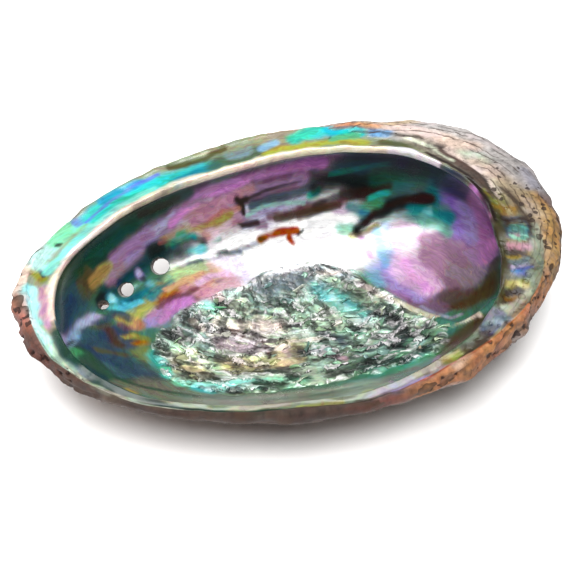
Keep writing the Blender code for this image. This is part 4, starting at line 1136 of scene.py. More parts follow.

# %% [markdown]
# ## The lip's strokes
# On the inner lip the bands run with the rim, and the knuckles at the spire end take turns
# of light and dark.

# %% Strokes on the inner lip
# The dark near crust strokes are partly the crust's own brown and partly painted shade on the near side under
# the rim.
LIP_STROKES = read_strokes("""
band left: turquoise_pale 3 0.9: -73 -8 36, -72 -12 34, -70 -17 33
band left cyan: cyan 1.6 0.7: -73 -8 36, -72 -10 35
band left inner: rose_grey 2.2 0.85: -68 -8 35, -68 -13 34, -69 -16 34
band left olive: olive 1.7 0.95: -71 2 36, -70 0 36, -68 -3 36
band left crack: ink_brown 0.6 0.95: -71 3 36, -69 1 36, -68 -2 36
band left pale: cyan_pale 3 0.9: -70 4 36, -68 9 37, -65 12 37
band green: mint 3 0.9: -64 13 37, -61 17 37, -58 19 37
band violet: periwinkle 1.9 0.9: -58 20 37, -55 22 38, -52 25 38
band turquoise: turquoise 3.6 0.95: -53 22 38, -47 28 39, -40 32 39, -32 34 40
band blue outer: blue 1.6 0.7: -50 28 39, -44 32 39, -38 35 40
band turquoise b: turquoise 3.6 0.9: -35 33 39, -27 36 40, -17 40 40
band teal: turquoise_deep 2.6 0.7: -27 33 40, -20 37 40, -15 39 41
band olive: moss 4.5 0.9: -13 39 41, -7 41 41, -1 43 41
band grey: slate_pale 2.4 0.8: -9 43 41, -4 45 41
band blue spot: sky 1.9 0.85: 1 45 42, 5 48 41
band green gold: gold_green 2.2 0.9: 2 41 42, 6 44 42, 13 44 42, 22 46 41, 33 44 41
band turquoise c: turquoise 2.8 0.95: 12 49 42, 17 51 42, 20 52 42
band cyan c: cyan_deep 2.6 0.95: 24 52 42, 28 51 42, 32 50 42
band green c: leaf 1.7 0.85: 24 48 41, 28 48 41, 31 48 41
band blue c: blue 2.4 0.85: 37 49 41, 41 48 41, 44 48 42
band blue fade: slate_pale 2.6 0.8: 44 45 41, 47 44 41
band olive end: olive_dark 2.2 0.8: 39 43 41, 45 40 41, 51 39 40
lip cream left: cream_pink 2.8 0.95: -63 3 37, -60 7 37, -54 12 37, -50 17 37, -44 23 36
lip cream mid: cream 1.7 0.95: -45 22 35, -36 28 36, -26 33 36, -14 35 39, -1 39 41
lip cream right: cream 1.3 0.95: -4 38 41, 6 40 41, 15 42 42, 28 41 41, 40 39 41
lip white end: pearl 1 0.9: 40 39 41, 46 37 41, 49 34 40, 53 31 40
band dot a: ink_brown 0.8 0.95: -64 11 37, -63 11 37
band dot b: ink_brown 0.7 0.95: -50 21 38
band dot c: ink_brown 0.6 0.8: 23 49 41
near left dark: bottle_green 2.4 0.9: -66 -26 32, -63 -32 32, -59 -38 31, -54 -44 30, -49 -48 30
near left navy: navy 1.8 0.7: -65 -28 32, -61 -36 31, -57 -41 31
near left teal: steel 1 0.7: -66 -26 32, -64 -32 31, -60 -39 31
near left line: cream_green 0.8 0.95: -69 -26 31, -67 -32 31, -63 -39 31, -58 -44 30, -51 -49 28
near left line b: cream 0.7 0.8: -58 -44 30, -51 -49 28, -44 -53 28
near rim: cream_green 1 0.95: -63 -38 31, -59 -43 30, -53 -48 30, -47 -51 29, -42 -54 29
near rim b: olive_pale 1.6 0.95: -42 -54 29, -32 -56 29, -22 -58 28, -12 -60 29
near rim c: olive_pale 1.5 0.9: -12 -60 29, 1 -61 29, 12 -59 28, 20 -57 29
near rim gold: gold_dull 1 0.7: -7 -60 29, -1 -60 29, 4 -59 28
near rim d: lilac_grey 2.2 0.9: 13 -59 28, 18 -57 29, 23 -56 29
near rim e: shell_pink 2 0.8: 31 -53 29, 35 -52 30
left rim: mint_grey 1.6 0.8: -72 -22 33, -69 -27 32, -67 -32 31, -63 -38 31
right band base: sage_dim 6 0.9: 68 11 37, 71 1 35, 70 -10 33, 65 -22 33, 60 -29 31, 51 -39 31
upper right crust: ash_warm 4.6 0.95: 47 46 42, 53 41 41, 60 35 40, 64 25 39, 66 17 38
upper right pale: bisque 1.3 0.85: 56 43 41, 61 37 40, 65 30 39, 67 21 39
upper right brown: umber 1.9 0.9: 56 36 40, 60 30 39, 63 22 39, 64 13 38
upper right olive: olive_dark 1.4 0.8: 65 18 38, 65 13 37, 67 10 37
upper right thin pale: cream_green 0.8 0.85: 46 44 41, 53 39 40, 58 32 39
right inner green: leaf_dark 1 0.7: 61 -7 36, 60 -15 35, 57 -24 33, 52 -32 32
right tan outer: tan 1.6 0.8: 73 8 37, 73 0 36, 72 -9 34, 68 -20 33, 64 -28 32
right cream spot: cream 1.2 0.8: 71 8 36, 73 5 36
right brown pit: brown 1 0.9: 64 -11 34, 68 -11 33
right cream low: cream_green 1.6 0.8: 55 -34 31, 58 -32 31
right dark low: umber 1.5 0.8: 49 -42 30, 46 -46 30, 41 -49 30
right tan low: tan 1.6 0.8: 51 -42 30, 47 -46 30, 40 -51 29
right inner dark: brown 1.3 0.85: 64 9 37, 63 1 36, 61 -7 36, 60 -14 35, 58 -22 34
right band upper: olive 3.6 0.7: 65 13 37, 67 10 37, 70 9 36
right gold: gold_deep 2.2 0.95: 64 5 36, 67 7 36, 69 7 36
right gold dark: olive_dark 1.5 0.8: 62 3 36, 65 4 35, 68 6 35
right teal bump: turquoise_grey 3.2 0.95: 66 -3 37, 68 -2 36, 70 -4 36
right teal bump rim: navy 1.4 0.6: 66 3 35, 70 4 35, 72 2 35
right rose: rose_grey 2.6 0.85: 64 -8 35, 67 -8 35, 69 -8 35
right brown: gold_deep 1.8 0.9: 65 -11 34, 67 -11 33, 70 -11 33
right brown b: brown 1 0.7: 64 -12 34, 66 -12 33
right lavender: lilac_grey 3 0.9: 62 -18 34, 66 -17 33, 68 -16 33
right blue: periwinkle 1.6 0.85: 63 -21 34, 65 -21 34
right yellow: gold_green 2.4 0.85: 61 -24 33, 63 -24 32
right hollow brown: gold_deep 2.2 0.95: 58 -28 31, 60 -28 31, 61 -27 31
right hollow dark: brown 1.3 0.8: 57 -29 31, 59 -28 31
right grey: lilac_grey 2.8 0.85: 52 -35 32, 53 -37 32
right blue spot: periwinkle 2 0.85: 48 -40 31, 50 -38 31
right pale edge: olive_pale 2.2 0.9: 73 -3 36, 72 -9 34, 70 -15 33, 66 -24 33, 62 -29 31
right green low: leaf_dark 3 0.8: 45 -43 30, 41 -45 30, 37 -47 30
right gold low: gold_green 1.6 0.7: 41 -47 30, 38 -48 30, 34 -49 30
knuckle gold: gold_deep 1.6 0.95: 64 8 37, 67 7 36, 70 8 36
knuckle gold dark: ink_brown 1 0.95: 63 8 37, 64 5 36, 67 5 35
knuckle teal: turquoise_deep 1.9 0.95: 67 -2 36, 69 -3 36, 70 -5 36
knuckle teal light: mint 0.9 0.9: 68 -1 36, 70 -3 36
knuckle teal outline: navy 0.7 0.9: 65 0 36, 69 5 35, 72 3 35, 72 -2 36, 71 -6 35, 67 -7 35, 64 -6 36,
  65 0 36
knuckle olive: olive 1 0.85: 62 -7 36, 65 -8 35, 69 -8 34
knuckle rose: rose 1.2 0.85: 63 -9 35, 66 -9 34, 69 -9 34
knuckle brown: brown 1 0.95: 63 -11 34, 65 -11 34, 68 -10 33
knuckle gold b: gold 0.8 0.8: 62 -13 34, 65 -13 33, 67 -12 33
knuckle lavender: lilac_pale 1.4 0.9: 61 -18 34, 63 -18 34, 67 -16 33
knuckle blue: blue 0.8 0.9: 61 -20 34, 63 -20 34, 65 -19 34
knuckle slate: slate 0.8 0.7: 59 -22 34, 61 -22 33, 64 -22 33
knuckle yellow: gold_green 1.1 0.95: 59 -24 33, 61 -24 33, 64 -24 33
knuckle dark: ink_brown 0.9 0.9: 57 -26 33, 60 -26 32, 63 -25 32
knuckle gold c: gold_deep 1.4 0.9: 56 -28 32, 58 -28 31, 61 -28 31
knuckle brown c: brown 1 0.9: 54 -31 32, 57 -30 31
knuckle cream: cream 1.2 0.8: 56 -33 31, 58 -31 31
knuckle grey: lilac_grey 1.8 0.8: 50 -37 32, 53 -35 32
knuckle blue b: blue 1.2 0.8: 48 -39 31, 50 -38 31
knuckle dark b: ink_brown 0.8 0.9: 46 -41 31, 49 -40 31, 51 -39 31
knuckle umber: umber 2 0.85: 41 -46 30, 45 -44 30, 48 -42 30
knuckle tan: tan 0.9 0.8: 62 -30 31, 58 -35 31, 54 -40 31, 48 -44 30
spire dark line: ink_brown 0.7 0.9: 55 39 40, 60 34 40, 63 28 39, 65 21 38, 66 14 37
spire dark line b: umber 0.8 0.85: 51 45 41, 58 41 40, 64 35 40, 68 26 39, 70 18 38
spire cream line: cream 0.7 0.85: 63 31 39, 66 26 39, 67 20 38, 68 15 37
spire olive: olive 0.9 0.8: 64 17 37, 65 11 37, 68 9 37
top brown line: brown_red 0.8 0.85: 24 53 42, 33 52 42, 43 50 41, 51 45 41
top dark line: ink_brown 0.6 0.7: 30 50 42, 39 49 41, 46 45 41
near left dark lip: bottle_green 1.7 0.95: -66 -24 33, -64 -31 32, -60 -36 31, -55 -43 31, -49 -47 30
near left navy lip: navy 1 0.7: -65 -12 27, -63 -17 24, -59 -25 24
near left pale line: cream_green 0.5 0.9: -69 -25 32, -66 -31 30, -62 -40 31, -56 -46 30, -50 -50 29
left edge cream: cream_pink 1.6 0.9: -62 3 36, -65 -5 36, -67 -12 35, -67 -18 34
left edge cyan: cyan_pale 1.6 0.9: -71 -7 35, -72 -13 34, -72 -20 33, -69 -25 32
left edge pink: rose_grey 1 0.8: -68 -10 35, -69 -15 34, -68 -21 33
left band pale: turquoise_pale 1.8 0.9: -67 0 36, -61 8 37, -53 18 38, -44 25 39, -35 32 39
left band turquoise: turquoise 1.2 0.85: -53 20 38, -47 25 39, -40 31 39, -30 36 40, -24 38 40
left band lines: pearl 0.5 0.6: -63 3 37, -56 11 38, -48 19 39
left band blue edge: periwinkle 0.6 0.85: -55 20 38, -48 27 39, -40 34 40, -32 38 40
left ridge cream: cream_pink 1.1 1: -60 6 32, -53 14 34, -45 22 35, -35 29 36, -23 33 39, -10 36 40, 6 40 41
olive end: olive_dark 1.3 0.95: -28 41 40, -23 42 40, -17 44 41, -11 47 41
knuckle hollow a: ink_brown 1.1 1: 63 8 37, 63 5 36, 67 5 35, 67 4 35
knuckle gold top: gold_deep 1.1 1: 65 8 37, 67 7 36, 70 8 36
knuckle ring: brown 0.6 1: 65 -2 37, 68 4 35, 71 4 35, 73 1 36, 72 -4 36, 70 -7 35
knuckle teal bump: turquoise_grey 1.5 1: 67 -2 36, 69 -4 36, 69 -5 36
knuckle bump light: mint 0.6 1: 65 -6 36, 67 -7 36, 70 -6 36
knuckle rose b: rose 1 0.9: 63 -9 35, 65 -9 34, 67 -9 34
knuckle hollow b: brown 0.9 1: 63 -11 34, 65 -10 34, 67 -11 33, 69 -13 33
knuckle lavender b: slate_pale 1.3 0.95: 62 -16 34, 65 -15 33, 68 -13 33
knuckle violet b: periwinkle 0.8 0.95: 63 -19 34, 65 -19 34, 68 -17 33
knuckle cream b: butter 0.9 1: 62 -24 32, 64 -25 32
knuckle hollow c: ink_brown 1.1 1: 58 -27 31, 60 -27 31, 62 -26 32
knuckle gold d: gold_deep 0.8 1: 57 -29 31, 60 -28 31, 62 -28 31
knuckle cream d: cream_green 1.1 0.9: 55 -32 31, 58 -32 31, 61 -29 31, 64 -27 32
knuckle grey d: slate_pale 1.3 0.9: 49 -38 31, 52 -37 32, 55 -37 31
knuckle navy d: navy 0.8 0.95: 47 -39 31, 50 -39 31
gap olive: olive_dark 1 0.95: 65 7 36, 63 -4 37, 61 -13 34, 58 -23 33, 55 -30 32
rim ink: ink_brown 1.1 1: 51 36 40, 56 31 39, 60 23 39, 62 16 38, 63 7 37, 63 1 36
rim olive dark: olive_dark 1.1 1: 63 1 36, 62 -7 36, 60 -16 35, 57 -24 33
rim ink b: umber 0.6 0.95: 55 37 40, 61 30 39, 64 22 38, 65 12 37
rim cream b: cream_pink 0.5 0.85: 57 37 40, 62 30 39, 66 21 39, 67 12 37
rim tan b: tan 0.8 0.85: 66 24 39, 69 17 38, 70 9 37
rim brown c: brown 0.9 0.95: 69 17 38, 71 11 37, 72 6 36, 73 2 36
rim mint fleck: mint_grey 0.8 0.8: 65 35 39, 67 32 39
near crust dark left: umber 2 0.95: -75 -16 32, -74 -23 30
near crust maroon left: maroon 1 0.8: -74 -20 31, -72 -27 29
near crust dark mid: ink_brown 0.8 0.85: -49 -50 27, -39 -55 27, -28 -57 26, -17 -60 26
near crust umber mid: umber 1.6 0.85: -47 -51 26, -34 -57 26, -5 -62 26
near crust red: brown_red 1.2 0.85: -7 -62 27, 1 -62 27, 8 -61 27
near crust tan: rust_pale 1.4 0.9: 28 -56 26, 37 -52 26, 47 -47 29, 56 -39 30
near crust dark spots: ink_brown 0.7 0.85: 33 -54 27, 34 -53 27
near crust dark spots b: ink_brown 0.6 0.85: 40 -51 29, 43 -49 29
near crust dark spots c: ink_brown 0.6 0.85: 52 -41 31, 54 -38 31
near crust dark edge: umber 0.8 0.9: 20 -58 28, 27 -55 29, 35 -52 30, 42 -47 30
upper layers a: ink_brown 0.5 0.9: 46 45 41, 53 42 41, 60 36 40, 65 27 39, 69 18 38
upper layers b: umber 0.5 0.85: 55 48 41, 63 42 40, 70 33 39, 75 22 38
upper layers c: pearl 0.5 0.8: 58 41 40, 64 34 39, 68 25 39
upper layers d: ink_brown 0.4 0.8: 39 50 41, 48 48 41, 56 44 41
near lip dark inside: bottle_green 0.9 0.95: -54 -45 30, -46 -50 29, -37 -55 29, -24 -58 29, -12 -60 29
near lip cream: cream_green 0.6 0.95: -53 -48 30, -44 -53 29, -32 -57 28, -17 -60 28, -4 -61 28, 6 -60 28
near lip lilac: lilac_pale 0.8 0.8: 14 -59 28, 21 -57 29, 29 -54 29
near lip brown spots: brown 0.6 0.9: 8 -59 28, 11 -59 28
near lip grey: ash_warm 0.9 0.8: 1 -61 28, 9 -60 28, 17 -58 28
""")

# %% [markdown]
# ## The crust's strokes
# The crust needs few strokes, because its grain and worm holes come from the material.

# %% Strokes on the crust
# Near side umber and near left maroon are partly the crust's own brown and partly painted shade on the near
# side under the rim.
CRUST_STROKES = read_strokes("""
crust top grey: ash 9 0.9: 57 54 40, 66 47 39, 74 35 38, 79 23 37
crust top pink: bisque 3.5 0.85: 44 50 41, 51 47 41, 59 43 40, 66 39 39
crust top tan: tan 2.5 0.8: 34 53 42, 42 54 41, 52 56 40
crust top rust: rust_pale 1.6 0.8: 27 54 42, 34 53 42, 40 53 41
crust dark ledge: ash_dark 3 0.85: 50 40 41, 55 37 40, 60 32 40, 64 26 39
crust ledge green: sage_pale 3 0.7: 60 34 40, 66 32 39, 67 30 39
crust cream ledge: bisque 3 0.85: 65 30 39, 68 23 39, 69 17 38
crust ledge inner: brown 2 0.85: 57 30 39, 61 25 39, 64 19 38, 65 14 37
crust inner edge pale: cream_green 1.2 0.8: 57 29 39, 60 23 39, 62 17 38
crust right grey: ash_blue 3 0.7: 80 26 37, 80 19 36
crust right tan a: tan_deep 5 0.9: 77 10 36, 79 5 36, 79 -2 34
crust right tan b: tan_deep 5 0.9: 77 -7 34, 77 -12 32, 73 -18 31
crust right in: tan 4 0.8: 71 18 38, 74 13 37, 75 4 36
crust right rust: rust_pale 5 0.9: 71 -22 30, 66 -28 31, 59 -35 32
crust low right rust: rust_pale 5 0.9: 53 -41 30, 44 -47 30, 34 -53 29, 25 -56 28
crust low right edge: bisque 2 0.6: 52 -38 31, 44 -44 30, 36 -50 30
crust low mid: umber 5 0.85: 20 -59 26, 1 -62 27, -12 -61 27
crust low mid pink: rust_rose 1.8 0.7: 21 -58 27, 14 -60 27, 6 -61 28
crust low left: umber 5 0.85: -22 -60 27, -32 -57 28, -42 -54 28, -49 -51 29
crust left maroon: maroon 5 0.95: -61 -42 29, -65 -37 30, -69 -31 30, -71 -26 32, -73 -22 33
crust left tip: rust_rose 4 0.95: -74 -18 33, -76 -13 34, -77 -10 35
crust left top: bisque 3 0.9: -76 -6 35, -74 3 35
near side umber: umber 6 0.8: -77 -22 28, -68 -36 27, -54 -48 27, -36 -56 26, -12 -60 26, 8 -60 26
near left maroon: maroon 4 0.8: -79 -10 30, -77 -22 29, -69 -35 28
""")
for kind, strokes in (
    ("hollow", HOLLOW_STROKES), ("scar", SCAR_STROKES), ("lip", LIP_STROKES), ("crust", CRUST_STROKES),
):
    print(len(strokes), "strokes for the", kind)

# %% [markdown]
# ## Masks and paint as attributes
# A material can read any attribute of the mesh. The crust mask says where the nacre ends,
# the scar mask where the muscle held on, and growth how far the shell had grown there. The
# tint holds the painted strokes. Flow and lap are places measured along the grain of the
# scar and along the rim, for patterns that follow the shell. The resting place keeps each
# point's position from before the fine relief, so that a pattern in the mesh and the same
# pattern in the material meet.

# %% Store the attributes
CRUST_EDGE_WALK = 31.6
OVERGROWN = ((6.5, 30.0, 16.0), (2.6, 215.0, 24.0))    # reach over the lip, and bearings
GRAINY_LIP = 0.4         # how much of the crust's grain the lip's knuckles share
POCKED_BEARINGS = ((-5.0, 34.0), (-50.0, 20.0), (195.0, 20.0))
CALM_PLATES = (   # x, y and radius of the scar's smooth plates
    (-15, -7, 5), (-6, 4, 4), (-3, -15, 4), (4, -7, 4), (3, 22, 7), (-2, 18, 5),
    (18, 17, 6), (22, 8, 5), (9, 24, 5),
)
NEAR_SIDE = np.array((0.5, -0.87))
LIP_SHEEN = 0.35        # how much of the hollow's polish the lip has
FLOW_CENTRE, FLOW_RADIUS = np.array((0.0, 48.0)), 75.0


def store(data, name, values, kind="FLOAT"):
    """Adds a point attribute to a mesh."""
    layer = data.attributes.new(name, kind, "POINT")
    field = {"FLOAT": "value", "FLOAT_COLOR": "color", "FLOAT_VECTOR": "vector"}[kind]
    layer.data.foreach_set(field, np.asarray(values, np.float32).ravel())


def bearing_window(points, middle, width):
    """1 near one bearing from the middle of the shell, in degrees, fading to 0 away from it."""
    bearing = np.degrees(np.arctan2(points[:, 1] - BOWL_CENTRE[1], points[:, 0] - BOWL_CENTRE[0]))
    return bump((bearing - middle + 180) % 360 - 180, width)


def crust_mask(points, walks):
    """1 on the crust and 0 on the nacre, with a ragged border that reaches over parts of the lip."""
    ragged = 1.1 * noise_field(points, 5, 3, 31)
    reach = sum(far * bearing_window(points, middle, width) ** 0.3 for far, middle, width in OVERGROWN)
    full = 1 - smooth((walks - CRUST_EDGE_WALK - reach + ragged) / 1.2 + 0.5)
    grainy = GRAINY_LIP * bearing_window(points, -18, 32) * (walks < EDGE_WALK + 1)
    return np.maximum(full, grainy)


def paint_shell(points, walks, crust, scar):
    """The tint of every point."""
    on_crust = walks < LIP_WALK
    colours = np.tile(paint("sage_deep"), (len(points), 1))
    growth = growth_share(points)
    shade = smooth(0.5 + 0.6 * noise_field(points, 16, 3, 41))[:, None]
    crown = paint("maroon") * shade + paint("bisque") * (1 - shade)
    colours = np.where(on_crust[:, None], 0.75 * crown + 0.25 * paint("ash"), colours)
    colours += scar[:, None] * 0.85 * (paint("sage_pale") - colours) * (~on_crust)[:, None]
    on_lip = (walks >= LIP_WALK - 4) & (walks < EDGE_WALK + 3)
    colours = np.where((on_lip & ~on_crust)[:, None], paint("sage_dim"), colours)
    lay_strokes(colours, points, walks >= EDGE_WALK, HOLLOW_STROKES, rise=0.8)
    lay_strokes(colours, points, walks > HOLLOW_WALK, SCAR_STROKES, noise_size=4)
    lay_strokes(colours, points, on_lip, LIP_STROKES, rise=0.25)
    lay_strokes(colours, points, walks < LIP_WALK - 0.5, CRUST_STROKES)
    # painted shade, darker towards the near side on the crust and the lip
    near_painted_shade = smooth(0.5 + points[:, :2] @ NEAR_SIDE / 50) * (1 - smooth((walks - EDGE_WALK) / 3))
    return colours * (1 - (1 - PAINTED_NEAR_SHADE) * near_painted_shade)[:, None]


def flow_places(points):
    """Places along and across the scar's grain, which bends round a point beyond the pores."""
    gap = points[:, :2] - FLOW_CENTRE
    turn = np.arctan2(gap[:, 0], -gap[:, 1])
    return np.stack([turn * FLOW_RADIUS, np.linalg.norm(gap, axis=1), points[:, 2]], axis=1) * MM


def lap_places(points):
    """Millimetres along the rim and away from it, for streaks that run with the rim."""
    gap = points[:, :2] - BOWL_CENTRE
    turn = np.arctan2(gap[:, 1], gap[:, 0])
    share = np.linalg.norm(gap, axis=1) / (around(0, turn) - around(1, turn))
    turn = np.where(turn < -2.6, turn + math.tau, turn)
    return np.stack([turn * 50, share * 40 + points[:, 2] * 0.8, 0 * turn], axis=1)


def calm_share(points):
    """1 on the scar's few smooth plates and 0 where it is torn."""
    plates = [bump(np.hypot(points[:, 0] - x, points[:, 1] - y), radius) for x, y, radius in CALM_PLATES]
    return np.max(plates, axis=0)


def store_all(data, points, walks, crust, scar):
    """Stores every mask, place and colour that the trees and materials read."""
    tint = paint_shell(points, walks, crust, scar)
    store(data, "crust", crust)
    store(data, "scar", scar)
    store(data, "calm", calm_share(points))
    store(data, "growth", growth_share(points))
    store(data, "sheen", LIP_SHEEN + (1 - LIP_SHEEN) * smooth((walks - EDGE_WALK) / 5))
    store(data, "pocked", sum(bearing_window(points, *window) for window in POCKED_BEARINGS).clip(0.25, 1))
    store(data, "tint", np.concatenate([tint, np.ones((len(tint), 1))], axis=1), "FLOAT_COLOR")
    store(data, "resting", (points + PLAN_OFFSET) * MM, "FLOAT_VECTOR")
    store(data, "flow", flow_places(points), "FLOAT_VECTOR")
    store(data, "lap", lap_places(points), "FLOAT_VECTOR")


crust = crust_mask(rest_points, walks)
scar = smooth(scar_depth(rest_points) / 2.2 + 0.3) * (walks > HOLLOW_WALK)
store_all(shell.data, rest_points, walks, crust, scar)
shares = round(float(crust.mean()), 3), round(float(scar.mean()), 3)
print("crust covers", shares[0], "and the scar", shares[1], "of the points")

# %% [markdown]
# ## Building node trees
# Geometry Nodes and shader nodes are both lists of nodes with links. These helpers add one
# node and fill or link its inputs, which keeps each tree below short enough to read.

# %% Node helpers
def add_node(tree, kind, inputs=None, **settings):
    """Adds a node, sets it up, and fills or links its inputs."""
    node = tree.nodes.new(kind)
    for name, value in settings.items():
        setattr(node, name, value)
    for key, value in (inputs or {}).items():
        if isinstance(value, bpy.types.NodeSocket):
            tree.links.new(value, node.inputs[key])
        else:
            node.inputs[key].default_value = value
    return node


def calc(tree, operation, *values):
    """One Math node."""
    return add_node(tree, "ShaderNodeMath", dict(enumerate(values)), operation=operation).outputs[0]


def vector_calc(tree, operation, *values):
    """One Vector Math node. SCALE takes its factor on the socket named Scale."""
    inputs = {0: values[0], "Scale": values[1]} if operation == "SCALE" else dict(enumerate(values))
    return add_node(tree, "ShaderNodeVectorMath", inputs, operation=operation).outputs[0]


def ease(tree, value, low, high, to_low=0.0, to_high=1.0):
    """A smooth step from to_low to to_high as the value goes from low to high."""
    inputs = {"Value": value, "From Min": low, "From Max": high, "To Min": to_low, "To Max": to_high}
    return add_node(tree, "ShaderNodeMapRange", inputs, interpolation_type="SMOOTHSTEP").outputs["Result"]


def mix_colour(tree, factor, a, b, blend="MIX"):
    """Mixes two colours."""
    node = add_node(tree, "ShaderNodeMix", data_type="RGBA", blend_type=blend, clamp_factor=True)
    for index, value in ((0, factor), (6, a), (7, b)):
        if isinstance(value, bpy.types.NodeSocket):
            tree.links.new(value, node.inputs[index])
        else:
            node.inputs[index].default_value = value
    return node.outputs[2]


def mix_value(tree, factor, a, b):
    """Mixes two numbers."""
    node = add_node(tree, "ShaderNodeMix", {0: factor, 2: a, 3: b}, data_type="FLOAT")
    return node.outputs[0]


def grain(tree, place, scale, detail=3.0, roughness=0.55):
    """A noise of about 0 to 1."""
    inputs = {"Vector": place, "Scale": scale, "Detail": detail, "Roughness": roughness}
    return add_node(tree, "ShaderNodeTexNoise", inputs).outputs[0]


def noise_push(tree, place, scale, amount):
    """A short push whose direction drifts with the place."""
    inputs = {"Vector": place, "Scale": scale, "Detail": 2.0}
    wave = add_node(tree, "ShaderNodeTexNoise", inputs).outputs["Color"]
    return vector_calc(tree, "SCALE", vector_calc(tree, "SUBTRACT", wave, (0.5, 0.5, 0.5)), amount)


def warp(tree, place, scale, amount):
    """Bends a place by a noise, so that a pattern on it isn't straight."""
    return vector_calc(tree, "ADD", place, noise_push(tree, place, scale, amount))


def fill_ramp(node, stops):
    """Gives a colour ramp its stops, each a position and a colour, from first to last."""
    elements = node.color_ramp.elements
    elements[0].position, elements[0].color = stops[0]
    elements[1].position, elements[1].color = stops[-1]
    for position, colour in stops[1:-1]:
        elements.new(position).color = colour


def group_tree(name, kind, inputs, outputs):
    """An empty node group with its named inputs and outputs, and its two end nodes."""
    tree = bpy.data.node_groups.new(name, kind)
    for label, socket, value in inputs:
        made = tree.interface.new_socket(label, in_out="INPUT", socket_type=socket)
        if value is not None:
            made.default_value = value
    for label, socket in outputs:
        tree.interface.new_socket(label, in_out="OUTPUT", socket_type=socket)
    return tree, tree.nodes.new("NodeGroupInput"), tree.nodes.new("NodeGroupOutput")


def attribute_field(tree, name, data_type="FLOAT"):
    """A named attribute inside Geometry Nodes."""
    node = add_node(tree, "GeometryNodeInputNamedAttribute", {"Name": name}, data_type=data_type)
    return node.outputs["Attribute"]


def run_nodes(obj, tree, values):
    """Puts a tree on an object with its inputs set by their identifiers, and bakes it."""
    modifier = obj.modifiers.new(tree.name, "NODES")
    modifier.node_group = tree
    for item in tree.interface.items_tree:
        if item.item_type == "SOCKET" and item.in_out == "INPUT" and item.name in values:
            modifier[item.identifier] = values[item.name]
    obj.update_tag()
    return bake(obj)


print("node helpers ready")

# %% [markdown]
# ## Two patterns used by mesh and material alike
# A torn plate pattern covers the scar, and a grain with worm holes and growth ledges covers
# the crust. Each is one function that adds the same nodes to whichever tree asks: the mesh takes its heights
# from it and the material its colours, so a gap darkened with painted shadow is a real gap in
# the surface too.

# %% Scar and crust patterns
PLATE_CELLS = (95.0, 230.0, 140.0)        # cells a metre along, across and up
LAYER_GRAIN = (72.0, 175.0, 110.0)        # swells a metre that the torn layers follow
LAYERS = 4.2                              # layers over the full height of a swell
HOLE_SPACING = 0.0025                     # metres between worm holes
LEDGES = 17.0                             # growth ledges from the apex to the rim
LEDGE_WANDER = 2.4                        # ledges that a noise shifts their lines by


def scar_pattern(tree, flow, calm):
    """Plate tone, layer edges, broad shade and crests of the scar, each from 0 to 1."""
    bent = warp(tree, flow, 130.0, 0.0065)
    swell = grain(tree, vector_calc(tree, "MULTIPLY", bent, LAYER_GRAIN), 1.0, 4.0, 0.55)
    step = calc(tree, "FRACT", calc(tree, "MULTIPLY", swell, LAYERS))
    torn = calc(tree, "MULTIPLY_ADD", calm, -0.8, 1.0)
    depth = ease(tree, grain(tree, vector_calc(tree, "SCALE", flow, 95.0), 1.0, 2.0), 0.36, 0.60, 0.45, 1.0)
    edge = calc(tree, "MULTIPLY", ease(tree, step, 0.0, 0.24, 1.0, 0.0), calc(tree, "MULTIPLY", torn, depth))
    crest = calc(tree, "MULTIPLY", ease(tree, step, 0.55, 1.0), torn)
    cells = add_node(tree, "ShaderNodeTexVoronoi", {
        "Vector": vector_calc(tree, "MULTIPLY", bent, PLATE_CELLS), "Scale": 1.0,
    })
    tone = add_node(tree, "ShaderNodeSeparateXYZ", {0: cells.outputs["Color"]}).outputs[0]
    broad = ease(tree, grain(tree, vector_calc(tree, "SCALE", bent, 170.0), 1.0, 3.0), 0.38, 0.60)
    even = calc(tree, "MULTIPLY", calm, 0.65)
    return mix_value(tree, even, tone, 0.5), edge, mix_value(tree, even, broad, 0.72), crest


def crust_pattern(tree, resting, pocked):
    """Grain, worm holes and chalky patches of the crust, each from 0 to 1."""
    rough = grain(tree, resting, 420.0, 6.0, 0.65)
    bent = warp(tree, resting, 300.0, 0.002)
    holes = add_node(tree, "ShaderNodeTexVoronoi", {"Vector": bent, "Scale": 1 / HOLE_SPACING})
    chance = add_node(tree, "ShaderNodeSeparateXYZ", {0: holes.outputs["Color"]}).outputs[1]
    size = calc(tree, "MULTIPLY", ease(tree, chance, 0.05, 0.90, 0.12, 0.50), pocked)
    hole = ease(tree, calc(tree, "SUBTRACT", holes.outputs["Distance"], size), -0.09, 0.0, 1.0, 0.0)
    chalk = ease(tree, grain(tree, resting, 95.0, 5.0, 0.6), 0.48, 0.62)
    return rough, hole, chalk


def ledge_step(tree, place, growth):
    """Rises from 0 to 1 over each growth ledge."""
    uneven = calc(tree, "MULTIPLY", grain(tree, place, 60.0, 4.0), LEDGE_WANDER)
    return calc(tree, "FRACT", calc(tree, "MULTIPLY_ADD", growth, LEDGES, uneven))


print("scar plates about", [round(1000 / cells, 1) for cells in PLATE_CELLS], "mm")

# %% [markdown]
# ## Fine relief by Geometry Nodes
# The loft is smooth between its points, but the crust isn't. This tree moves every point
# once more along its normal: growth ledges and worm holes on the crust, and torn layers on
# the scar's skin.

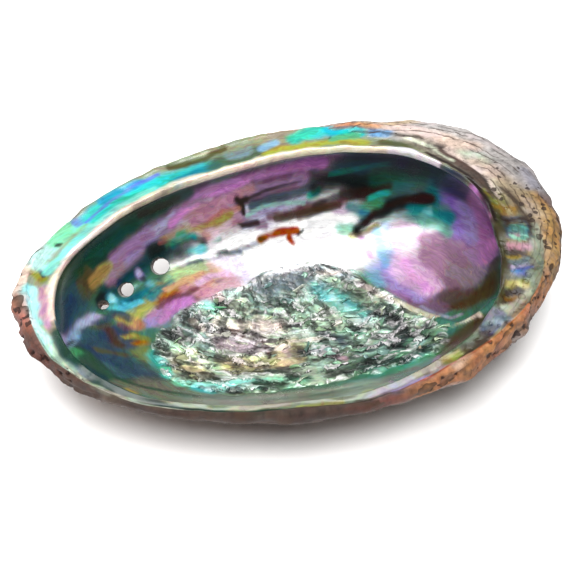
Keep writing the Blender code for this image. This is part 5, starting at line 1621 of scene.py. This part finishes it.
# %% Fine relief tree
def fine_relief_tree():
    tree, start, end = group_tree(
        "fine_relief", "GeometryNodeTree",
        [
            ("Geometry", "NodeSocketGeometry", None), ("Ledge height", "NodeSocketFloat", 0.0004),
            ("Crust grain", "NodeSocketFloat", 0.0005), ("Hole depth", "NodeSocketFloat", 0.0006),
            ("Scar depth", "NodeSocketFloat", 0.0008), ("Material", "NodeSocketMaterial", None),
        ],
        [("Geometry", "NodeSocketGeometry")],
    )
    crust, scar, growth = (attribute_field(tree, name) for name in ("crust", "scar", "growth"))
    resting = attribute_field(tree, "resting", "FLOAT_VECTOR")
    rough, hole, _ = crust_pattern(tree, resting, attribute_field(tree, "pocked"))
    tone, edge, _, crest = scar_pattern(
        tree, attribute_field(tree, "flow", "FLOAT_VECTOR"), attribute_field(tree, "calm"))
    step = ledge_step(tree, resting, growth)
    ledge = calc(tree, "MULTIPLY", calc(tree, "POWER", step, 4.0), start.outputs["Ledge height"])
    lumps = calc(tree, "MULTIPLY", calc(tree, "SUBTRACT", rough, 0.5), start.outputs["Crust grain"])
    pits = calc(tree, "MULTIPLY", hole, start.outputs["Hole depth"])
    crust_height = calc(tree, "SUBTRACT", calc(tree, "ADD", ledge, lumps), pits)
    plates = calc(tree, "MULTIPLY_ADD", tone, 0.5, calc(tree, "MULTIPLY", edge, -0.6))
    plates = calc(tree, "MULTIPLY_ADD", crest, 0.45, plates)
    scar_height = calc(tree, "MULTIPLY", calc(tree, "MULTIPLY", plates, start.outputs["Scar depth"]), scar)
    height = mix_value(tree, crust, scar_height, crust_height)
    normal = add_node(tree, "GeometryNodeInputNormal").outputs[0]
    moved = add_node(tree, "GeometryNodeSetPosition", {
        "Geometry": start.outputs["Geometry"], "Offset": vector_calc(tree, "SCALE", normal, height),
    })
    place = add_node(tree, "GeometryNodeInputPosition").outputs[0]
    parts = add_node(tree, "ShaderNodeSeparateXYZ", {0: place})
    flat = add_node(tree, "ShaderNodeCombineXYZ", {
        0: parts.outputs[0], 1: parts.outputs[1], 2: calc(tree, "MAXIMUM", parts.outputs[2], 0.0),
    })
    seated = add_node(tree, "GeometryNodeSetPosition", {
        "Geometry": moved.outputs[0], "Position": flat.outputs[0],
    })
    joined = add_node(tree, "GeometryNodeRealizeInstances", {"Geometry": seated.outputs[0]})
    dressed = add_node(tree, "GeometryNodeSetMaterial", {
        "Geometry": joined.outputs[0], "Material": start.outputs["Material"],
    })
    tree.links.new(dressed.outputs[0], end.inputs[0])
    return tree


shell_material = bpy.data.materials.new("shell_nacre_and_crust")
fine_relief = fine_relief_tree()
run_nodes(shell, fine_relief, {
    "Ledge height": 0.0002, "Crust grain": 0.0009, "Hole depth": 0.0007, "Scar depth": 0.0,
    "Material": shell_material,
})
print("fine relief done:", len(shell.data.vertices), "points")

# %% [markdown]
# ## The skin of the scar
# The scar is rough down to a third of a millimetre, and the main mesh is coarser than that.
# A skin of its own takes over: a fine grid is dropped onto the nacre, trimmed to the ragged
# outline, raised with broad plates, wrinkled by the same tree as the crust and given a
# thickness that sinks into the wall. Its border dips under the nacre, to leave no gap.

# %% Scar skin
SKIN_STEP = 0.36         # millimetres between points
SKIN_MARGIN = 1.2        # millimetres that the skin reaches past the scar
SKIN_THICKNESS = 0.9


def drop_onto(obj, plan):
    """Drawn points where plan points meet the upper side of an object, and which ones did."""
    surface = BVHTree.FromObject(obj, bpy.context.evaluated_depsgraph_get())
    drawn = np.zeros((len(plan), 3))
    met = np.zeros(len(plan), bool)
    for index, (x, y) in enumerate(plan):
        above = Vector(((x + PLAN_OFFSET[0]) * MM, (y + PLAN_OFFSET[1]) * MM, 0.03))
        hit = surface.ray_cast(above, Vector((0, 0, -1)))[0]
        if hit is not None:
            drawn[index] = x, y, hit.z / MM
            met[index] = True
    return drawn, met


def grid_skin(step):
    """A grid over the scar as drawn points and square faces."""
    outline = np.array(SCAR_OUTLINE)
    low, high = outline.min(axis=0) - 3, outline.max(axis=0) + 3
    xs, ys = np.arange(low[0], high[0], step), np.arange(low[1], high[1], step)
    plan = np.stack(np.meshgrid(xs, ys), axis=-1).reshape(-1, 2)
    near = inside_outline(plan, SCAR_OUTLINE) > -SKIN_MARGIN - 2.5
    drawn, met = drop_onto(shell, plan[near])
    keep = np.zeros(len(plan), bool)
    keep[near] = met & (scar_depth(drawn) > -SKIN_MARGIN)
    points = np.zeros((len(plan), 3))
    points[near] = drawn
    wide = len(xs)
    cell = np.arange(len(plan) - wide - 1)
    cell = cell[(cell + 1) % wide != 0]
    corners = np.stack([cell, cell + 1, cell + wide + 1, cell + wide], axis=1)
    corners = corners[keep[corners].all(axis=1)]
    used, faces = np.unique(corners, return_inverse=True)
    return points[used], faces.reshape(-1, 4)


skin_points, skin_faces = grid_skin(SKIN_STEP)
skin_inside = scar_depth(skin_points)
skin_mesh = bpy.data.meshes.new("scar_skin")
skin_mesh.from_pydata((skin_points + PLAN_OFFSET).tolist(), [], skin_faces.tolist())
skin_mesh.update()
skin = new_object("scar_skin", skin_mesh)
border = smooth((skin_inside + SKIN_MARGIN) / 2.0)
store_all(skin.data, skin_points, np.full(len(skin_points), float(END_WALK)), 0 * border, border)
normals = np.empty(len(skin_points) * 3)
skin.data.vertex_normals.foreach_get("vector", normals)
lift = scar_relief(skin_points, skin_inside) - 0.45 * (1 - border)
skin.data.vertices.foreach_set(
    "co", ((skin_points + PLAN_OFFSET + normals.reshape(-1, 3) * lift[:, None]) * MM).ravel()
)
run_nodes(skin, fine_relief, {
    "Ledge height": 0.0, "Crust grain": 0.0, "Hole depth": 0.0, "Scar depth": 0.0008,
    "Material": shell_material,
})
thicken = skin.modifiers.new("thicken", "SOLIDIFY")
thicken.thickness, thicken.offset = SKIN_THICKNESS * MM, -1.0
bake(skin)
print("scar skin:", len(skin.data.polygons), "faces")

# %% [markdown]
# ## Loose flakes on the scar
# The scar isn't one skin: small scales of nacre stand off it with their own edges and
# shadows. A tree scatters thin lens-shaped scales where the scar mask is high, turns each
# one to lie on the surface with its long side along the shell, and bends them all by a noise
# afterwards, so no two are alike.

# %% Scar flakes
def flake_tree():
    tree, start, end = group_tree(
        "scar_flakes", "GeometryNodeTree",
        [
            ("Geometry", "NodeSocketGeometry", None), ("Flakes per square metre", "NodeSocketFloat", 90000.0),
            ("Length", "NodeSocketFloat", 0.0028), ("Mask", "NodeSocketString", "scar"),
            ("Seed", "NodeSocketInt", 3), ("Material", "NodeSocketMaterial", None),
        ],
        [("Geometry", "NodeSocketGeometry")],
    )
    mask = attribute_field(tree, start.outputs["Mask"])
    density = calc(tree, "MULTIPLY", mask, start.outputs["Flakes per square metre"])
    points = add_node(tree, "GeometryNodeDistributePointsOnFaces", {
        "Mesh": start.outputs["Geometry"], "Density": density, "Seed": start.outputs["Seed"],
    }, distribute_method="RANDOM")
    ball = add_node(tree, "GeometryNodeMeshIcoSphere", {"Radius": 1.0, "Subdivisions": 2})
    lie = add_node(tree, "FunctionNodeAlignRotationToVector", {"Vector": points.outputs["Normal"]}, axis="Z")
    along = add_node(tree, "FunctionNodeAlignRotationToVector", {
        "Rotation": lie.outputs[0], "Vector": (1.0, 0.12, 0.0),
    }, axis="X", pivot_axis="Z")
    turn = add_node(tree, "FunctionNodeRandomValue", {
        "Min": (-0.22, -0.22, -0.5), "Max": (0.22, 0.22, 0.5), "Seed": start.outputs["Seed"],
    }, data_type="FLOAT_VECTOR")
    euler = add_node(tree, "FunctionNodeEulerToRotation", {0: turn.outputs[0]})
    rotation = add_node(tree, "FunctionNodeRotateRotation", {
        "Rotation": along.outputs[0], "Rotate By": euler.outputs[0],
    }, rotation_space="LOCAL")
    size = add_node(tree, "FunctionNodeRandomValue", {
        "Min": (0.35, 0.14, 0.03), "Max": (1.0, 0.36, 0.06),
        "Seed": calc(tree, "ADD", start.outputs["Seed"], 7.0),
    }, data_type="FLOAT_VECTOR")
    scale = vector_calc(tree, "SCALE", size.outputs[0], start.outputs["Length"])
    scattered = add_node(tree, "GeometryNodeInstanceOnPoints", {
        "Points": points.outputs["Points"], "Instance": ball.outputs["Mesh"],
        "Rotation": rotation.outputs[0], "Scale": scale,
    })
    own = add_node(tree, "FunctionNodeRandomValue", {
        "Seed": calc(tree, "ADD", start.outputs["Seed"], 11.0),
    }, data_type="FLOAT")
    toned = add_node(tree, "GeometryNodeStoreNamedAttribute", {
        "Geometry": scattered.outputs[0], "Name": "flake_tone", "Value": own.outputs[1],
    }, data_type="FLOAT", domain="INSTANCE")
    joined = add_node(tree, "GeometryNodeRealizeInstances", {"Geometry": toned.outputs[0]})
    place = add_node(tree, "GeometryNodeInputPosition").outputs[0]
    bend = noise_push(tree, place, 480.0, 0.0034)
    bent = add_node(tree, "GeometryNodeSetPosition", {"Geometry": joined.outputs[0], "Offset": bend})
    smooth_shade = add_node(tree, "GeometryNodeSetShadeSmooth", {"Geometry": bent.outputs[0]})
    dressed = add_node(tree, "GeometryNodeSetMaterial", {
        "Geometry": smooth_shade.outputs[0], "Material": start.outputs["Material"],
    })
    tree.links.new(dressed.outputs[0], end.inputs[0])
    return tree


scatter = flake_tree()
flake_material = bpy.data.materials.new("scar_flake")
flakes = new_object("scar_flakes", skin.data.copy())
run_nodes(flakes, scatter, {
    "Flakes per square metre": 14000.0, "Length": 0.0034, "Mask": "scar", "Seed": 3,
    "Material": flake_material,
})
print("scar flakes:", len(flakes.data.polygons), "faces")

# %% [markdown]
# ## Shader: nacre
# Nacre mirrors a little and scatters a little, both in its own colour, and a clear skin over
# it gives the sharp highlight. The group takes the painted tint and adds what a brush can't:
# fine streaks that run out from the apex, and a drift of hue like oil on water.

# %% Nacre group
COAT_OUTPUTS = (
    ("Color", "NodeSocketColor"), ("Roughness", "NodeSocketFloat"), ("Height", "NodeSocketFloat"),
)
FILM_STOPS = (    # the colours that a film goes through as it thickens
    (0.0, (0.50, 0.24, 0.55, 1)), (0.22, (0.75, 0.45, 0.42, 1)), (0.42, (0.55, 0.62, 0.30, 1)),
    (0.68, (0.22, 0.62, 0.50, 1)), (1.0, (0.26, 0.36, 0.74, 1)),
)


def nacre_group():
    tree, start, end = group_tree(
        "nacre_film", "ShaderNodeTree",
        [("Tint", "NodeSocketColor", None), ("Lap", "NodeSocketVector", None),
         ("Place", "NodeSocketVector", None)],
        COAT_OUTPUTS,
    )
    lap = warp(tree, start.outputs["Lap"], 0.12, 5.0)
    streak = grain(tree, vector_calc(tree, "MULTIPLY", lap, (0.07, 0.42, 1.0)), 1.0, 6.0, 0.6)
    drift = grain(tree, start.outputs["Place"], 55.0, 3.0)
    lean = calc(tree, "MULTIPLY_ADD", streak, 0.09, -0.045)
    hue = calc(tree, "ADD", ease(tree, drift, 0.25, 0.75, 0.465, 0.535), lean)
    hair = grain(tree, vector_calc(tree, "MULTIPLY", lap, (0.30, 2.1, 1.0)), 1.0, 4.0, 0.6)
    strands = ease(tree, hair, 0.32, 0.62, 0.86, 1.10)
    value = calc(tree, "MULTIPLY", calc(tree, "MULTIPLY_ADD", streak, 1.5, 0.30), strands)
    varied = add_node(tree, "ShaderNodeHueSaturation", {
        "Hue": hue, "Saturation": 1.18, "Value": value, "Color": start.outputs["Tint"],
    }).outputs[0]
    wave = calc(tree, "SINE", calc(tree, "MULTIPLY_ADD", streak, 15.0, calc(tree, "MULTIPLY", drift, 10.0)))
    film = add_node(tree, "ShaderNodeValToRGB", {0: calc(tree, "MULTIPLY_ADD", wave, 0.5, 0.5)})
    fill_ramp(film, FILM_STOPS)
    rainbow = mix_colour(tree, 0.30, varied, film.outputs[0], "SOFT_LIGHT")
    tree.links.new(rainbow, end.inputs["Color"])
    tree.links.new(calc(tree, "MULTIPLY_ADD", drift, 0.16, 0.20), end.inputs["Roughness"])
    tree.links.new(streak, end.inputs["Height"])
    return tree


nacre = nacre_group()
print("nacre group has", len(nacre.nodes), "nodes")

# %% [markdown]
# ## Shader: scar and crust
# The scar's plates take a tone each, from bottle green in the gaps to cream on the crests,
# with painted shadow at the torn edges and a painted highlight on the crests.
# The crust is dull: chalky patches, brown grain and dark worm holes over the painted tint,
# with painted shadow under the growth ledges and painted shade in the holes.

# %% Scar and crust groups
def scar_group():
    tree, start, end = group_tree(
        "scar_coat", "ShaderNodeTree",
        [("Tint", "NodeSocketColor", None), ("Flow", "NodeSocketVector", None),
         ("Calm", "NodeSocketFloat", 0.0)],
        COAT_OUTPUTS,
    )
    tone, edge, broad, crest = scar_pattern(tree, start.outputs["Flow"], start.outputs["Calm"])
    toned = calc(tree, "MULTIPLY_ADD", tone, 1.05, 0.28)
    light = calc(tree, "MULTIPLY", toned, calc(tree, "MULTIPLY_ADD", broad, 1.15, 0.14))
    plates = add_node(tree, "ShaderNodeHueSaturation", {
        "Hue": calc(tree, "MULTIPLY_ADD", tone, 0.06, 0.46), "Saturation": 0.78, "Value": light,
        "Color": start.outputs["Tint"],
    }).outputs[0]
    # painted highlight: the crests are mixed towards pearl
    pale = calc(tree, "MULTIPLY", calc(tree, "MULTIPLY", crest, broad), 0.68)
    bright = mix_colour(tree, pale, plates, paint_rgba("pearl"))
    # painted shadow: the torn edges of the layers are mixed towards ink
    gaps = mix_colour(tree, calc(tree, "MULTIPLY", edge, 0.94), bright, paint_rgba("ink"))
    tree.links.new(gaps, end.inputs["Color"])
    tree.links.new(calc(tree, "MULTIPLY_ADD", tone, -0.12, 0.42), end.inputs["Roughness"])
    tree.links.new(calc(tree, "SUBTRACT", crest, edge), end.inputs["Height"])
    return tree


def crust_group():
    tree, start, end = group_tree(
        "crust_coat", "ShaderNodeTree",
        [("Tint", "NodeSocketColor", None), ("Growth", "NodeSocketFloat", 0.0),
         ("Pocked", "NodeSocketFloat", 1.0), ("Place", "NodeSocketVector", None)],
        COAT_OUTPUTS,
    )
    rough, hole, chalk = crust_pattern(tree, start.outputs["Place"], start.outputs["Pocked"])
    step = ledge_step(tree, start.outputs["Place"], start.outputs["Growth"])
    broken = ease(tree, grain(tree, start.outputs["Place"], 130.0, 4.0), 0.40, 0.54)
    # painted shadow under each growth ledge, broken up by a noise
    shadow = calc(tree, "MULTIPLY", ease(tree, step, 0.0, 0.30, 1.0, 0.0), broken)
    value = calc(tree, "MULTIPLY_ADD", rough, 3.0, -0.42)
    varied = add_node(tree, "ShaderNodeHueSaturation", {
        "Hue": calc(tree, "MULTIPLY_ADD", grain(tree, start.outputs["Place"], 150.0), 0.06, 0.47),
        "Saturation": 1.0, "Value": value, "Color": start.outputs["Tint"],
    }).outputs[0]
    light = add_node(tree, "ShaderNodeRGBToBW", {0: start.outputs["Tint"]}).outputs[0]
    bright = calc(tree, "MULTIPLY", ease(tree, light, 0.05, 0.35), 0.55)
    chalky = mix_colour(tree, calc(tree, "MULTIPLY", chalk, bright), varied, paint_rgba("shell_pink"))
    ledged = mix_colour(tree, calc(tree, "MULTIPLY", shadow, 0.9), chalky, paint_rgba("brown"))
    # painted shade inside the worm holes
    holed = mix_colour(tree, calc(tree, "MULTIPLY", hole, 0.85), ledged, paint_rgba("ink_brown"))
    tree.links.new(holed, end.inputs["Color"])
    tree.links.new(calc(tree, "MULTIPLY_ADD", rough, 0.25, 0.6), end.inputs["Roughness"])
    raised = calc(tree, "MULTIPLY_ADD", step, 0.8, rough)
    tree.links.new(calc(tree, "SUBTRACT", raised, hole), end.inputs["Height"])
    return tree


scar_coat, crust_coat = scar_group(), crust_group()
print("scar and crust groups ready")

# %% [markdown]
# ## The materials
# One material covers the whole shell, because nacre, scar and crust run into each other with
# ragged borders that two separate materials couldn't share. The masks choose between the
# three groups. Numbers that are the same everywhere are set on the shader's own sockets.

# %% Shell and flake materials
FLAKE_STOPS = ((0.0, "leaf_dark"), (0.35, "sage_pale"), (0.6, "mist"), (0.8, "cream"), (1.0, "pearl"))


def read_attribute(tree, name, output="Fac"):
    return add_node(tree, "ShaderNodeAttribute", attribute_name=name).outputs[output]


def group_node(tree, group, inputs):
    """Adds a node group and links its inputs."""
    node = tree.nodes.new("ShaderNodeGroup")
    node.node_tree = group
    for key, value in inputs.items():
        tree.links.new(value, node.inputs[key])
    return node


def dress_shell(material):
    material.use_nodes = True
    tree = material.node_tree
    shader = tree.nodes["Principled BSDF"]
    tint = read_attribute(tree, "tint", "Color")
    growth = read_attribute(tree, "growth")
    lap, flow = read_attribute(tree, "lap", "Vector"), read_attribute(tree, "flow", "Vector")
    crust, scar = read_attribute(tree, "crust"), read_attribute(tree, "scar")
    place = read_attribute(tree, "resting", "Vector")
    film = group_node(tree, nacre, {"Tint": tint, "Lap": lap, "Place": place})
    plates = group_node(tree, scar_coat, {
        "Tint": film.outputs["Color"], "Flow": flow, "Calm": read_attribute(tree, "calm"),
    })
    coat = group_node(tree, crust_coat, {
        "Tint": tint, "Growth": growth, "Pocked": read_attribute(tree, "pocked"), "Place": place,
    })
    inside = mix_colour(tree, scar, film.outputs["Color"], plates.outputs["Color"])
    colour = mix_colour(tree, crust, inside, coat.outputs["Color"])
    inside_rough = mix_value(tree, scar, film.outputs["Roughness"], plates.outputs["Roughness"])
    rough = mix_value(tree, crust, inside_rough, coat.outputs["Roughness"])
    light = add_node(tree, "ShaderNodeRGBToBW", {0: tint}).outputs[0]
    bare = calc(tree, "SUBTRACT", 1.0, crust)
    polish = calc(tree, "MULTIPLY", bare, calc(tree, "MULTIPLY_ADD", scar, -0.55, 1.0))
    polish = calc(tree, "MULTIPLY", polish, ease(tree, light, 0.0, 0.10, 0.10, 1.0))
    polish = calc(tree, "MULTIPLY", polish, read_attribute(tree, "sheen"))
    tree.links.new(colour, shader.inputs["Base Color"])
    tree.links.new(rough, shader.inputs["Roughness"])
    tree.links.new(calc(tree, "MULTIPLY", polish, 0.42), shader.inputs["Metallic"])
    tree.links.new(calc(tree, "MULTIPLY", polish, 0.35), shader.inputs["Coat Weight"])
    shader.inputs["Coat Roughness"].default_value = 0.12
    ripple = calc(tree, "MULTIPLY", film.outputs["Height"], 0.12)
    inside_height = mix_value(tree, scar, ripple, plates.outputs["Height"])
    height = mix_value(tree, crust, inside_height, calc(tree, "MULTIPLY", coat.outputs["Height"], 1.3))
    dents = add_node(tree, "ShaderNodeBump", {"Height": height, "Strength": 0.6, "Distance": 0.0005})
    tree.links.new(dents.outputs[0], shader.inputs["Normal"])


def dress_flakes(material):
    material.use_nodes = True
    tree = material.node_tree
    shader = tree.nodes["Principled BSDF"]
    tones = add_node(tree, "ShaderNodeValToRGB", {0: read_attribute(tree, "flake_tone")})
    fill_ramp(tones, [(position, paint_rgba(name)) for position, name in FLAKE_STOPS])
    own = mix_colour(tree, 0.5, tones.outputs[0], read_attribute(tree, "tint", "Color"))
    place = add_node(tree, "ShaderNodeTexCoord").outputs["Object"]
    lap = read_attribute(tree, "lap", "Vector")
    film = group_node(tree, nacre, {"Tint": own, "Lap": lap, "Place": place})
    tree.links.new(film.outputs["Color"], shader.inputs["Base Color"])
    tree.links.new(film.outputs["Roughness"], shader.inputs["Roughness"])
    shader.inputs["Metallic"].default_value = 0.25
    shader.inputs["Coat Weight"].default_value = 0.4
    shader.inputs["Coat Roughness"].default_value = 0.2
    fine = grain(tree, place, 900.0)
    dents = add_node(tree, "ShaderNodeBump", {"Height": fine, "Strength": 0.4, "Distance": 0.0003})
    tree.links.new(dents.outputs[0], shader.inputs["Normal"])


dress_shell(shell_material)
dress_flakes(flake_material)
for obj in (shell, skin, flakes):
    obj.data.shade_smooth()
print("materials:", [m.name for m in bpy.data.materials])

# %% [markdown]
# ## Hand over
# The new shell stands in for the imported solid and rides on the part's one body.

# %% Ride, replace and finish
for piece in (shell, skin, flakes):
    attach(piece, "root")
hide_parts("shell")
